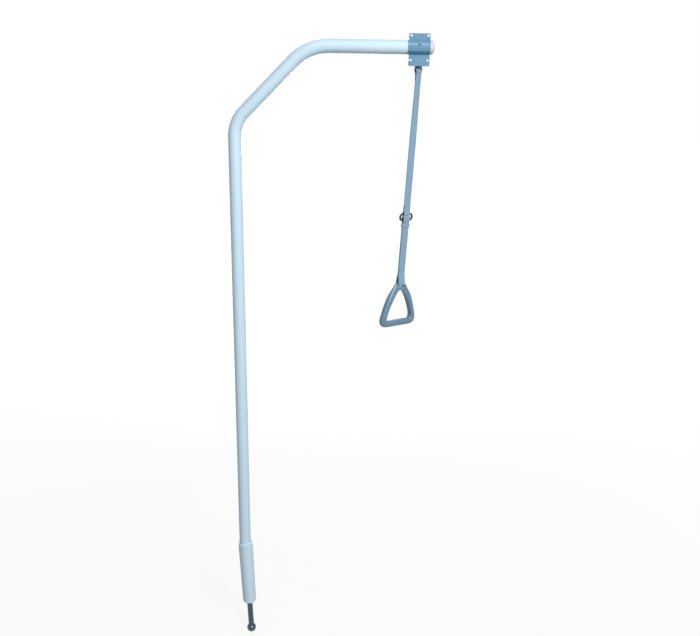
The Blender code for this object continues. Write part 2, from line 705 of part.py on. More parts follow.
def make_grip(plastic):
    """A triangular hand grip: bowed limbs, a straight bar to hold and a slotted neck for the strap."""
    inset = GRIP_SECTION_RADIUS
    side = [
        (NECK_HALF_WIDTH, -NECK_TOP),
        (SHOULDER_HALF_WIDTH, SHOULDER_DROP),
        (WAIST_HALF_WIDTH, WAIST_DROP),
        (GRIP_HALF_WIDTH, GRIP_CORNER_DROP),
        (GRIP_FOOT_HALF_WIDTH, GRIP_FOOT_DROP),
    ]
    # The section's round edge stands out from this outline, so the outline lies inside the real one
    half = [(x - inset, d) for x, d in side]
    half[0] = (half[0][0], -NECK_TOP + inset)
    half[-1] = (half[-1][0], GRIP_FOOT_DROP - inset)
    curve = bowed(half, 5)
    outer = [(x, -d) for x, d in curve] + [(-x, -d) for x, d in reversed(curve)]

    foot = GRIP_FOOT_DROP - BAR_HEIGHT + inset
    reach = GRIP_HALF_WIDTH - LIMB_WIDTH + inset
    waist = WAIST_HALF_WIDTH - LIMB_WIDTH + inset
    hole_side = [
        (HOLE_TOP_HALF_WIDTH, HOLE_TOP_DROP - inset),
        (HOLE_SHOULDER_HALF_WIDTH, HOLE_SHOULDER_DROP),
        (waist, WAIST_DROP),
        (reach, HOLE_CORNER_DROP),
        (reach - HOLE_CORNER_RUN, foot),
    ]
    curve = bowed(hole_side, 5)
    hole = [(x, -d) for x, d in curve] + [(-x, -d) for x, d in reversed(curve)]
    mesh = flat_mesh("grip_outline", [outer, hole], GRIP_DEPTH / 2 - inset, bevel=inset, rings=3)
    for vertex in mesh.vertices:
        grow = smooth(-vertex.co.y / NECK_LENGTH)
        vertex.co.z *= (NECK_DEPTH + (GRIP_DEPTH - NECK_DEPTH) * grow) / GRIP_DEPTH
    stand = strap_frame(HANDLE_S) @ Matrix.Rotation(math.pi / 2, 4, "X")
    grip = place("hand_grip", mesh, plastic, stand)
    middle = strap_frame(HANDLE_S)
    across = middle.to_3x3() @ Vector((GRIP_HALF_WIDTH, 0, 0))
    centre = middle.to_translation()
    bar = rod_cutter("slot_bar", centre - across, centre + across, BAR_RADIUS)
    size = (2 * SLOT_HALF_WIDTH, 2 * GRIP_DEPTH, SLOT_DEPTH)
    slot = bpy.data.objects.new("strap_slot", box_mesh("strap_slot", size))
    slot.matrix_world = middle @ Matrix.Translation((0, 0, -SLOT_DEPTH / 2))
    combine(hide(slot), bar)
    combine(grip, slot)


clear_scene()
pieces = new_collection("bed_trapeze")
cutters = new_collection("cutters")
white_paint = paint("white_powder_coat", (0.80, 0.85, 0.87), 0.35)
white_plastic = paint("white_plastic", (0.86, 0.89, 0.90), 0.45)
blue_coat = paint("blue_grey_coat", (0.16, 0.32, 0.42), 0.35, 0.3)
blue_plastic = paint("blue_grey_plastic", (0.13, 0.25, 0.32), 0.4)
black_plastic = paint("black_plastic", (0.02, 0.02, 0.025), 0.5)
webbing = paint("grey_webbing", (0.30, 0.38, 0.46), 0.8)
dark_steel = paint("dark_steel", (0.12, 0.13, 0.14), 0.35, 1.0)
bright_steel = paint("bright_steel", (0.75, 0.78, 0.80), 0.25, 1.0)

pole_piece = make_pole(white_paint)
make_ferrule(bright_steel)
make_spigot(white_plastic, dark_steel)
make_end_cap(white_plastic)
make_clamp(pole_piece, blue_coat, bright_steel)
make_hanger(black_plastic, dark_steel)
make_upper_strap(webbing)
make_ring(dark_steel)
make_lower_strap(webbing)
make_grip(blue_plastic)
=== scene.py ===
import math

import bmesh
import bpy
from mathutils import Matrix, Vector


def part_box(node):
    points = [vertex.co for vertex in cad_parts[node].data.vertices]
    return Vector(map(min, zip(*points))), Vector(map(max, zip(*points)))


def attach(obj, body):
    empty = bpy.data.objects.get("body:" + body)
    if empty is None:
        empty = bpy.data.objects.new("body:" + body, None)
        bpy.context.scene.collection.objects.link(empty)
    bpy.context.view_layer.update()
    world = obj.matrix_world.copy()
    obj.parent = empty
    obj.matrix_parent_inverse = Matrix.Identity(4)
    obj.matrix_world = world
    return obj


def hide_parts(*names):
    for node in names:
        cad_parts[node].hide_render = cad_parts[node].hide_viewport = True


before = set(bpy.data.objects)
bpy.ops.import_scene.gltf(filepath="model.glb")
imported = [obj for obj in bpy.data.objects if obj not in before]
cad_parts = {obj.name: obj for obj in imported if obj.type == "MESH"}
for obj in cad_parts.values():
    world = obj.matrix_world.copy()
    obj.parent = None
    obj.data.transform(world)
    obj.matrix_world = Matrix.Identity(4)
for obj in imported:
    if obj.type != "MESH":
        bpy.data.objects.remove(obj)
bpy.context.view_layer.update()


# Helpers for modelling in edit mode

weldReach = 1e-5  # points closer than this are one
facing = 0.9  # a face looks along an axis when its normal has this much of it
degreesPerStep = 2.5  # along a tube's bends


def choose(piece):  # the only one selected, and active
    bpy.ops.object.select_all(action="DESELECT")
    piece.select_set(True)
    bpy.context.view_layer.objects.active = piece


def bake():  # puts the chosen pieces' places, turns and scales into their meshes
    bpy.ops.object.transform_apply(location=True, rotation=True, scale=True)


def selectAll():
    bpy.ops.mesh.select_all(action="SELECT")


def editMode(piece):
    choose(piece)
    bpy.ops.object.mode_set(mode="EDIT")
    bpy.ops.mesh.select_mode(type="VERT")


def objectMode():
    bpy.ops.object.mode_set(mode="OBJECT")


def named(name):  # the piece that was just made
    piece = bpy.context.object
    piece.name = name
    return piece


def discard(piece):
    bpy.data.objects.remove(piece, do_unlink=True)


def startPoint(name, place):  # a new piece that is one vertex so far
    bpy.ops.mesh.primitive_plane_add(size=0.01)
    piece = named(name)
    editMode(piece)
    selectAll()
    bpy.ops.mesh.merge(type="CENTER")
    bpy.ops.transform.translate(value=place)
    return piece


def pullTo(step):  # extrudes whatever is selected
    bpy.ops.mesh.extrude_region_move(TRANSFORM_OT_translate={"value": step})


def pullAlong(points):
    for point, following in zip(points, points[1:]):
        pullTo([end - start for start, end in zip(point, following)])


def turnOutwards():
    selectAll()
    bpy.ops.mesh.normals_make_consistent(inside=False)


def closeMesh():  # merges doubles and turns every face outwards
    selectAll()
    bpy.ops.mesh.remove_doubles(threshold=weldReach)
    turnOutwards()


def pick(kind, test):  # selects the verts, edges or faces that pass the test
    bpy.ops.mesh.select_mode(type=kind)
    bpy.ops.mesh.select_all(action="DESELECT")
    mesh = bpy.context.edit_object.data
    cage = bmesh.from_edit_mesh(mesh)
    for part in {"VERT": cage.verts, "EDGE": cage.edges, "FACE": cage.faces}[kind]:
        part.select_set(bool(test(part)))
    cage.select_flush_mode()
    bmesh.update_edit_mesh(mesh)


def writeUv(piece, rule):  # rule turns a vertex into its place on the cloth
    cage = bmesh.from_edit_mesh(piece.data)
    layer = cage.loops.layers.uv.verify()
    for face in cage.faces:
        for loop in face.loops:
            loop[layer].uv = rule(loop.vert)
    bmesh.update_edit_mesh(piece.data)


def applyModifier(piece, kind, **settings):
    choose(piece)
    modifier = piece.modifiers.new(kind.lower(), kind)
    for key, value in settings.items():
        setattr(modifier, key, value)
    bpy.ops.object.modifier_apply(modifier=modifier.name)


def roundEdges(piece, width, segments, angle):
    applyModifier(
        piece, "BEVEL", width=width, segments=segments, limit_method="ANGLE",
        angle_limit=math.radians(angle), harden_normals=False,
    )


def cutWith(piece, cutter):
    applyModifier(piece, "BOOLEAN", object=cutter, operation="DIFFERENCE", solver="EXACT")
    discard(cutter)


def drill(piece, sides, radius, depth, **place):  # takes a straight bar out of the piece
    bpy.ops.mesh.primitive_cylinder_add(vertices=sides, radius=radius, depth=depth, **place)
    cutWith(piece, bpy.context.object)


def turnProfile(name, profile, sides):  # profile is (radius, height) pairs, turned about Z
    points = [(radius, 0, height) for radius, height in profile]
    piece = startPoint(name, points[0])
    pullAlong(points)
    selectAll()
    bpy.ops.mesh.spin(steps=sides, angle=-2 * math.pi, center=(0, 0, 0), axis=(0, 0, 1))
    closeMesh()
    objectMode()
    return piece


def runTube(name, start, heading, radius, moves, sides):
    # a ring pulled straight or spun round its bends; moves are ("straight", length) or
    # ("bend", bend radius, angle, axis)
    heading = Vector(heading).normalized()
    place = Vector(start)
    turn = Vector((0, 0, 1)).rotation_difference(heading).to_euler()
    bpy.ops.mesh.primitive_circle_add(vertices=sides, radius=radius, location=place, rotation=turn)
    piece = named(name)
    bake()
    editMode(piece)
    selectAll()
    for move in moves:
        if move[0] == "straight":
            pullTo(heading * move[1])
            place = place + heading * move[1]
            continue
        bendRadius, angle, axis = move[1], move[2], Vector(move[3])
        centre = place + axis.cross(heading) * bendRadius
        steps = max(2, round(math.degrees(angle) / degreesPerStep))
        bpy.ops.mesh.spin(steps=steps, angle=-angle, center=centre, axis=axis)
        swing = Matrix.Rotation(angle, 3, axis)
        place = centre + swing @ (place - centre)
        heading = swing @ heading
    selectAll()
    return piece


def settle(piece, place):  # bakes a place and turn into the mesh
    piece.matrix_world = place @ piece.matrix_world
    choose(piece)
    bake()


def copyPiece(piece, name):
    twin = piece.copy()
    twin.data = piece.data.copy()
    twin.name = name
    bpy.context.scene.collection.objects.link(twin)
    return twin


def finishPiece(piece, material, body, nodes, smooth=40):
    settle(piece, Matrix.Identity(4))
    bpy.ops.object.shade_smooth_by_angle(angle=math.radians(smooth))
    applyModifier(piece, "WEIGHTED_NORMAL", keep_sharp=True)  # long faces stay flat beside roundings
    piece.data.materials.clear()
    piece.data.materials.append(material)
    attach(piece, body)
    if nodes:
        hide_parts(*nodes)


def easeInOut(share):
    share = min(max(share, 0), 1)
    return share * share * (3 - 2 * share)


# Helpers for materials

def setInputs(node, values):
    for name, value in values.items():
        node.inputs[name].default_value = value


def startMaterial(name, colour, roughness, metallic=0.0):
    material = bpy.data.materials.new(name)
    material.use_nodes = True
    shader = material.node_tree.nodes["Principled BSDF"]
    setInputs(shader, {"Base Color": (*colour, 1), "Roughness": roughness, "Metallic": metallic})
    return material, material.node_tree, shader


def coordinates(tree, kind="Object"):
    return tree.nodes.new("ShaderNodeTexCoord").outputs[kind]


def noise(tree, where, scale, detail=3, stretch=None):
    if stretch:
        mapping = tree.nodes.new("ShaderNodeMapping")
        mapping.inputs["Scale"].default_value = stretch
        tree.links.new(where, mapping.inputs["Vector"])
        where = mapping.outputs["Vector"]
    node = tree.nodes.new("ShaderNodeTexNoise")
    setInputs(node, {"Scale": scale, "Detail": detail})
    tree.links.new(where, node.inputs["Vector"])
    return node.outputs[0]


def spread(tree, source, low, high, fromLow=0.3, fromHigh=0.7):
    node = tree.nodes.new("ShaderNodeMapRange")
    setInputs(node, {"From Min": fromLow, "From Max": fromHigh, "To Min": low, "To Max": high})
    tree.links.new(source, node.inputs["Value"])
    return node.outputs["Result"]


def blendColours(tree, share, first, second):
    node = tree.nodes.new("ShaderNodeMix")
    node.data_type = "RGBA"
    tree.links.new(share, node.inputs[0])
    for socket, colour in ((node.inputs[6], first), (node.inputs[7], second)):
        if isinstance(colour, tuple):
            socket.default_value = (*colour, 1)
        else:
            tree.links.new(colour, socket)
    return node.outputs[2]


def sums(tree, operation, first, second=None):
    node = tree.nodes.new("ShaderNodeMath")
    node.operation = operation
    for socket, value in zip(node.inputs, (first, second)):
        if isinstance(value, (int, float)):
            socket.default_value = value
        elif value is not None:
            tree.links.new(value, socket)
    return node.outputs[0]


def shaded(colour, share):  # the same colour, darker or lighter
    return tuple(min(1.0, channel * share) for channel in colour)


def mottled(tree, pattern, colour, darker, lighter):  # two shades of one colour, by a pattern
    share = spread(tree, pattern, 0.0, 1.0)
    return blendColours(tree, share, shaded(colour, darker), shaded(colour, lighter))


def patched(tree, pattern, tint, patch, cover, start=0.3, full=0.7):
    # the patch lies over the tint where the pattern is high: not below start, up to cover at full
    return blendColours(tree, spread(tree, pattern, 0.0, cover, start, full), tint, patch)


def edgeWearAndHighlight(tree, where, tint, patch, scale, start, full):  # a patch on the edges that stand out: wear where the patch is darker, painted highlight where it is lighter
    shape = tree.nodes.new("ShaderNodeNewGeometry").outputs["Pointiness"]
    edges = spread(tree, shape, 0.0, 1.0, start, full)
    patchy = spread(tree, noise(tree, where, scale, detail=4), 0.1, 1.0)
    return blendColours(tree, sums(tree, "MULTIPLY", edges, patchy), tint, patch)


def setSkin(tree, shader, tint, pattern, smooth, rough):  # colour, and roughness by a pattern
    tree.links.new(tint, shader.inputs["Base Color"])
    tree.links.new(spread(tree, pattern, smooth, rough), shader.inputs["Roughness"])


def relief(tree, shader, height, strength, distance):
    node = tree.nodes.new("ShaderNodeBump")
    setInputs(node, {"Strength": strength, "Distance": distance})
    tree.links.new(height, node.inputs["Height"])
    tree.links.new(node.outputs["Normal"], shader.inputs["Normal"])


finishColours = {
    "powderCoat": (0.625, 0.820, 0.950),
    "sleevePlastic": (0.655, 0.860, 0.990),
    "capPlastic": (0.620, 0.640, 0.735),
    "bracketCoat": (0.055, 0.218, 0.375),
    "gripPlastic": (0.120, 0.225, 0.320),
    "webbing": (0.250, 0.410, 0.555),
    "thread": (0.330, 0.450, 0.560),
    "blackPlastic": (0.012, 0.016, 0.022),
    "darkSteel": (0.075, 0.107, 0.126),
    "blackWire": (0.030, 0.050, 0.070),
    "screwSteel": (0.090, 0.170, 0.240),
    "zinc": (0.540, 0.620, 0.680),
}


def makePowderCoat():  # satin coat with a fine orange-peel skin
    colour = finishColours["powderCoat"]
    material, tree, shader = startMaterial("whitePowderCoat", colour, roughness=0.34)
    where = coordinates(tree)
    tint = mottled(tree, noise(tree, where, scale=9), colour, darker=0.98, lighter=1.01)
    rubs = noise(tree, where, scale=60, detail=5, stretch=(1, 1, 0.15))
    tint = patched(tree, rubs, tint, shaded(colour, 0.86), cover=0.35, start=0.60, full=0.75)
    setSkin(tree, shader, tint, noise(tree, where, scale=35), smooth=0.33, rough=0.39)
    relief(tree, shader, noise(tree, where, scale=420, detail=1), strength=0.02, distance=0.0001)
    setInputs(shader, {"Specular IOR Level": 0.35})
    return material


def makeNylon(name, colour):  # moulded nylon with faint lengthwise draw marks
    material, tree, shader = startMaterial(name, colour, roughness=0.42)
    where = coordinates(tree)
    streaks = noise(tree, where, scale=40, detail=4, stretch=(3, 3, 0.12))
    tint = mottled(tree, streaks, colour, darker=0.95, lighter=1.03)
    scuffs = noise(tree, where, scale=120, detail=6, stretch=(1, 1, 0.25))
    tint = patched(tree, scuffs, tint, shaded(colour, 0.80), cover=0.5, start=0.62, full=0.80)
    tint = edgeWearAndHighlight(tree, where, tint, shaded(colour, 0.86), scale=180, start=0.52, full=0.62)
    setSkin(tree, shader, tint, streaks, smooth=0.36, rough=0.52)
    relief(tree, shader, noise(tree, where, scale=700, detail=1), strength=0.05, distance=0.0001)
    return material


def makeBracketCoat():  # blue-grey stove enamel with a slight ripple
    colour = finishColours["bracketCoat"]
    material, tree, shader = startMaterial("blueBracketCoat", colour, roughness=0.30)
    where = coordinates(tree)
    tint = mottled(tree, noise(tree, where, scale=55), colour, darker=0.90, lighter=1.08)
    nicks = noise(tree, where, scale=420, detail=5)
    tint = patched(tree, nicks, tint, shaded(colour, 0.60), cover=0.6, start=0.66, full=0.78)
    # painted highlight: the edges that stand out are made lighter, as where light catches them
    tint = edgeWearAndHighlight(tree, where, tint, shaded(colour, 1.9), scale=260, start=0.52, full=0.60)
    setSkin(tree, shader, tint, noise(tree, where, scale=150), smooth=0.24, rough=0.40)
    relief(tree, shader, noise(tree, where, scale=500, detail=1), strength=0.06, distance=0.0002)
    setInputs(shader, {"Coat Weight": 1.0, "Coat IOR": 1.8, "Coat Roughness": 0.14})
    return material


def makeGripPlastic():  # satin moulded plastic with a fine grain, and painted highlights on the edges that stand out
    colour = finishColours["gripPlastic"]
    material, tree, shader = startMaterial("blueGripPlastic", colour, roughness=0.36)
    where = coordinates(tree)
    tint = mottled(tree, noise(tree, where, scale=28), colour, darker=0.95, lighter=1.05)
    # painted highlight: the edges that stand out are made lighter, as where light catches them
    tint = edgeWearAndHighlight(tree, where, tint, shaded(colour, 1.35), scale=90, start=0.51, full=0.56)
    setSkin(tree, shader, tint, noise(tree, where, scale=70), smooth=0.34, rough=0.44)
    relief(tree, shader, noise(tree, where, scale=900, detail=1), strength=0.04, distance=0.0001)
    setInputs(shader, {"Coat Weight": 0.20, "Coat Roughness": 0.20})
    return material


def makeWebbingCloth():  # plain weave: pillows of warp, each column half a pick from the next
    colour = finishColours["webbing"]
    weave = {"columns": 17, "picksPerWidth": 15, "valley": 0.35, "roundness": 0.6}
    material, tree, shader = startMaterial("greyWebbing", colour, roughness=0.78)
    split = tree.nodes.new("ShaderNodeSeparateXYZ")
    tree.links.new(coordinates(tree, "UV"), split.inputs[0])
    across = sums(tree, "MULTIPLY", split.outputs[0], weave["columns"])
    shift = sums(tree, "MULTIPLY", sums(tree, "FLOOR", across), 0.5)
    along = sums(tree, "ADD", sums(tree, "MULTIPLY", split.outputs[1], weave["picksPerWidth"]), shift)
    weft = sums(tree, "SINE", sums(tree, "MULTIPLY", along, 2 * math.pi))
    weft = spread(tree, weft, weave["valley"], 1.0, fromLow=-1.0, fromHigh=1.0)
    column = sums(tree, "ABSOLUTE", sums(tree, "SINE", sums(tree, "MULTIPLY", across, math.pi)))
    height = sums(tree, "MULTIPLY", weft, sums(tree, "POWER", column, weave["roundness"]))
    # painted shade in the weave's valleys and painted light on its crowns
    tint = blendColours(tree, height, shaded(colour, 0.78), shaded(colour, 1.10))
    fibres = noise(tree, coordinates(tree, "UV"), scale=30, detail=4, stretch=(1, 6, 1))
    tint = patched(tree, fibres, tint, shaded(colour, 0.72), cover=0.35)
    # painted shade: darker towards both edges of the webbing
    edge = sums(tree, "ABSOLUTE", sums(tree, "SUBTRACT", split.outputs[0], 0.5))
    tint = patched(tree, edge, tint, shaded(colour, 0.50), cover=0.75, start=0.38, full=0.50)
    tree.links.new(tint, shader.inputs["Base Color"])
    rough = spread(tree, height, 0.88, 0.68, fromLow=0.0, fromHigh=1.0)
    tree.links.new(rough, shader.inputs["Roughness"])
    relief(tree, shader, height, strength=0.40, distance=0.0003)
    setInputs(shader, {"Sheen Weight": 0.25, "Sheen Roughness": 0.45})
    return material


def makeThread():
    colour = finishColours["thread"]
    material, tree, shader = startMaterial("sewingThread", colour, roughness=0.6)
    ply = noise(tree, coordinates(tree), scale=2600, detail=2)
    tint = mottled(tree, ply, colour, darker=0.75, lighter=1.1)
    tree.links.new(tint, shader.inputs["Base Color"])
    relief(tree, shader, ply, strength=0.4, distance=0.0002)
    setInputs(shader, {"Sheen Weight": 0.3})
    return material


def makeBlackPlastic():
    colour = finishColours["blackPlastic"]
    material, tree, shader = startMaterial("blackBlockPlastic", colour, roughness=0.45)
    where = coordinates(tree)
    grain = noise(tree, where, scale=700)
    tint = mottled(tree, grain, colour, darker=1.0, lighter=2.2)
    setSkin(tree, shader, tint, noise(tree, where, scale=120), smooth=0.38, rough=0.55)
    relief(tree, shader, grain, strength=0.2, distance=0.0002)
    setInputs(shader, {"Specular IOR Level": 0.15})
    return material


def makeSteel(name, colour, roughness, streak=1):  # a low streak draws the brushing out along Z
    material, tree, shader = startMaterial(name, colour, roughness, metallic=1.0)
    where = coordinates(tree)
    brushing = noise(tree, where, scale=240, detail=5, stretch=(1, 1, streak))
    tint = mottled(tree, brushing, colour, darker=0.82, lighter=1.15)
    stain = noise(tree, where, scale=45, detail=4)
    tint = patched(tree, stain, tint, shaded(colour, 0.62), cover=0.5, start=0.52, full=0.72)
    setSkin(tree, shader, tint, brushing, smooth=roughness - 0.08, rough=roughness + 0.10)
    relief(tree, shader, brushing, strength=0.10, distance=0.0002)
    return material


powderCoat = makePowderCoat()
sleevePlastic = makeNylon("whiteSleevePlastic", finishColours["sleevePlastic"])
capPlastic = makeNylon("whiteCapPlastic", finishColours["capPlastic"])
bracketCoat = makeBracketCoat()
gripPlastic = makeGripPlastic()
webbingCloth = makeWebbingCloth()
sewingThread = makeThread()
blackPlastic = makeBlackPlastic()
darkSteel = makeSteel("darkOxideSteel", finishColours["darkSteel"], roughness=0.32, streak=0.2)
blackWire = makeSteel("blackenedWire", finishColours["blackWire"], roughness=0.38)
screwSteel = makeSteel("blueScrewSteel", finishColours["screwSteel"], roughness=0.40)
zincSteel = makeSteel("zincPlatedSteel", finishColours["zinc"], roughness=0.28)
print("materials made")


# Places read from the frame

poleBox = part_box("pole_tube")
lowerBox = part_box("lower_tube")
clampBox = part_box("clamp_front")
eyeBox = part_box("hanger_eye")
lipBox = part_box("hanger_block")
rig = {
    "tubeRadius": 0.019,
    "seatGap": 0.0003,
    "cant": math.radians(2.3),  # the spigot's lean, about the socket's origin
    "cantHeight": 0.258,
}
poleX = poleBox[0].x + rig["tubeRadius"]
armHeight = poleBox[1].z - rig["tubeRadius"]
armEnd = poleBox[1].x
seamHeight = lowerBox[1].z
clampX = (clampBox[0].x + clampBox[1].x) / 2
spigotTurn = Matrix.Rotation(-rig["cant"], 4, "Y")


# Pole: one bent tube on a lower tube that has a slight set above the sleeve

poleSizes = {
    "wall": 0.002,
    "diagonalRun": 0.213,
    "lowerBend": 0.100,
    "upperBend": 0.150,
    "setRadius": 0.300,
    "rimRounding": 0.0010,
    "footHeight": 0.0063,  # on the floor of the sleeve's bore
    "sides": 64,
}


def makePole():
    sizes = poleSizes
    quarter = math.radians(45)
    lowerTangent = sizes["lowerBend"] * math.tan(quarter / 2)
    upperTangent = sizes["upperBend"] * math.tan(quarter / 2)
    start = Vector((poleX, 0, seamHeight + rig["seatGap"]))
    rise = armHeight - sizes["diagonalRun"] - lowerTangent - start.z
    diagonal = sizes["diagonalRun"] * math.sqrt(2) - lowerTangent - upperTangent
    arm = armEnd - poleX - sizes["diagonalRun"] - upperTangent
    moves = [
        ("straight", rise),
        ("bend", sizes["lowerBend"], quarter, (0, 1, 0)),
        ("straight", diagonal),
        ("bend", sizes["upperBend"], quarter, (0, 1, 0)),
        ("straight", arm),
    ]
    tube = runTube("poleTube", start, (0, 0, 1), rig["tubeRadius"], moves, sizes["sides"])
    finishTube(tube, "pole_tube")

    foot = spigotTurn @ Vector((0, 0, sizes["footHeight"]))
    bendTangent = sizes["setRadius"] * math.tan(rig["cant"] / 2)
    start = Vector((poleX, 0, seamHeight))
    drop = seamHeight - rig["cantHeight"] - bendTangent
    corner = Vector((poleX, 0, rig["cantHeight"]))
    moves = [
        ("straight", drop),
        ("bend", sizes["setRadius"], rig["cant"], (0, -1, 0)),
        ("straight", (corner - foot).length - bendTangent),
    ]
    tube = runTube("lowerTube", start, (0, 0, -1), rig["tubeRadius"], moves, sizes["sides"])
    finishTube(tube, "lower_tube")


def finishTube(tube, node):  # outer skin first, then the wall inwards and rounded rims
    turnOutwards()
    objectMode()
    applyModifier(tube, "SOLIDIFY", thickness=poleSizes["wall"], offset=-1, use_even_offset=True)
    roundEdges(tube, poleSizes["rimRounding"], segments=3, angle=60)
    finishPiece(tube, powderCoat, "root", [node])


makePole()
print("pole done")


# Spigot: tapered sleeve, locating pin and ball, all turned about the canted axis

spigotSizes = {
    "sleeveLength": 0.234,
    "topRadius": 0.0246,
    "footRadius": 0.0226,
    "boreRadius": 0.0194,
    "boreFlare": 0.0012,
    "flareDepth": 0.0015,
    "floor": 0.006,
    "bandHeight": 0.0060,
    "bandStep": 0.0003,
    "stepHeight": 0.0008,
    "pinHole": 0.0099,
    "leadIn": 0.0030,
    "leadDepth": 0.0014,
    "sleeveEdge": 0.0006,
    "pinRadius": 0.0095,
    "pinDrop": 0.102,
    "pinSeat": 0.044,
    "pinChamfer": 0.0010,
    "studRadius": 0.005,
    "studLength": 0.010,
    "studFit": 0.0004,
    "ballRadius": 0.0155,
    "ballSteps": 22,
    "steelEdge": 0.0003,
}


def makeSpigot():
    sizes = spigotSizes
    top, foot = sizes["sleeveLength"], sizes["footRadius"]
    bore, wide = sizes["boreRadius"], sizes["topRadius"]
    bandEnd = top - sizes["bandHeight"]
    profile = [
        (bore, sizes["floor"]),
        (bore, top - sizes["flareDepth"]),
        (bore + sizes["boreFlare"], top),
        (wide, top),
        (wide, bandEnd),
        (wide - sizes["bandStep"], bandEnd - sizes["stepHeight"]),
        (foot, sizes["leadIn"]),
        (foot - sizes["leadDepth"], 0),
        (sizes["pinHole"], 0),
        (sizes["pinHole"], sizes["floor"]),
        (bore, sizes["floor"]),
    ]
    sleeve = turnProfile("socketSleeve", profile, sides=72)
    roundEdges(sleeve, sizes["sleeveEdge"], segments=3, angle=25)

    drop = -sizes["pinDrop"]
    thick, thin, chamfer = sizes["pinRadius"], sizes["studRadius"], sizes["pinChamfer"]
    studEnd = drop - sizes["studLength"]
    profile = [(0, sizes["pinSeat"]), (thick, sizes["pinSeat"]), (thick, drop + chamfer)]
    profile += [(thick - chamfer, drop), (thin, drop), (thin, studEnd), (0, studEnd)]
    pin = turnProfile("locatingPin", profile, sides=48)
    roundEdges(pin, sizes["steelEdge"], segments=2, angle=25)

    radius, steps = sizes["ballRadius"], sizes["ballSteps"]
    flat = math.sqrt(radius**2 - thick**2)
    centre = drop - rig["seatGap"] - flat
    angle = math.atan2(flat, thick)
    hole, holeEnd = thin + sizes["studFit"], studEnd - sizes["studFit"]
    profile = [(0, holeEnd), (hole, holeEnd), (hole, centre + flat)]
    for step in range(steps + 1):
        turn = angle - (angle + math.pi / 2) * step / steps
        profile.append((radius * math.cos(turn), centre + radius * math.sin(turn)))
    profile[-1] = (0, centre - radius)
    ball = turnProfile("ballTip", profile, sides=48)
    roundEdges(ball, sizes["steelEdge"], segments=2, angle=50)

    for piece in (sleeve, pin, ball):
        settle(piece, spigotTurn)
    finishPiece(sleeve, sleevePlastic, "root", ["socket_sleeve"])
    finishPiece(pin, darkSteel, "root", ["locating_pin"])
    finishPiece(ball, darkSteel, "root", ["ball_tip"])


makeSpigot()
print("spigot done")


# Cap in the arm's open end

capSizes = {
    "length": 0.0125,
    "plugRadius": 0.0166,
    "plugLength": 0.022,
    "rimHeight": 0.0028,
    "lipStep": 0.0005,
    "lipHeight": 0.0034,
    "domeReach": 0.0140,
    "domeSteps": 12,
    "edge": 0.0003,
}


def makeEndCap():  # a plug, a rim as wide as the tube, and a dome set in by a fine step
    sizes = capSizes
    radius = rig["tubeRadius"]
    profile = [(0, -sizes["plugLength"]), (sizes["plugRadius"], -sizes["plugLength"])]
    profile += [(sizes["plugRadius"], 0), (radius, 0), (radius, sizes["rimHeight"])]
    domeRadius = radius - sizes["lipStep"]
    domeHeight = sizes["length"] - sizes["lipHeight"]
    for step in range(sizes["domeSteps"] + 1):
        angle = math.pi / 2 * step / sizes["domeSteps"]
        reach = domeRadius - sizes["domeReach"] * (1 - math.cos(angle))
        profile.append((reach, sizes["lipHeight"] + domeHeight * math.sin(angle)))
    profile.append((0, sizes["length"]))
    cap = turnProfile("armEndCap", profile, sides=64)
    roundEdges(cap, sizes["edge"], segments=2, angle=35)
    place = Matrix.Translation((armEnd + rig["seatGap"], 0, armHeight))
    settle(cap, place @ Matrix.Rotation(math.pi / 2, 4, "Y"))
    finishPiece(cap, capPlastic, "root", ["arm_end_cap"])


makeEndCap()
print("cap done")


# Clamp bracket: two pressed plates, four socket-head bolts with nuts, one locating screw

clampSizes = {
    "width": 0.060,
    "thickness": 0.003,
    "top": 0.0365,
    "bottom": 0.050,
    "corner": 0.004,
    "cornerSteps": 6,
    "pressing": 0.0020,
    "pressingSteps": 5,
    "edge": 0.0006,
    "flangeY": 0.0055,
    "crown": 0.0193,
    "crownSteps": 40,
    "boltSpread": 0.0233,
    "boltRise": 0.0300,
    "boltDrop": 0.0350,
    "boltRadius": 0.0025,
    "headRadius": 0.0041,
    "headFlat": 0.0022,
    "headRim": 0.0004,
    "headHeight": 0.0026,
    "headSteps": 8,
    "screwHeadRadius": 0.0034,
    "screwHeadHeight": 0.0016,
    "endChamfer": 0.0005,
    "socketRadius": 0.0017,
    "socketDepth": 0.0014,
    "boltTurn": 0.4,  # each bolt and its nut are turned this much further than the ones before
    "boltEnd": 0.002,
    "nutFlats": 0.008,
    "nutHeight": 0.004,
    "nutInset": 0.0007,
    "nutCrown": 1.10,
    "nutFit": 0.0002,
    "nutEdge": 0.0002,
    "cutterLength": 0.02,
    "screwTilt": math.radians(15),
    "screwReach": 0.0040,
}


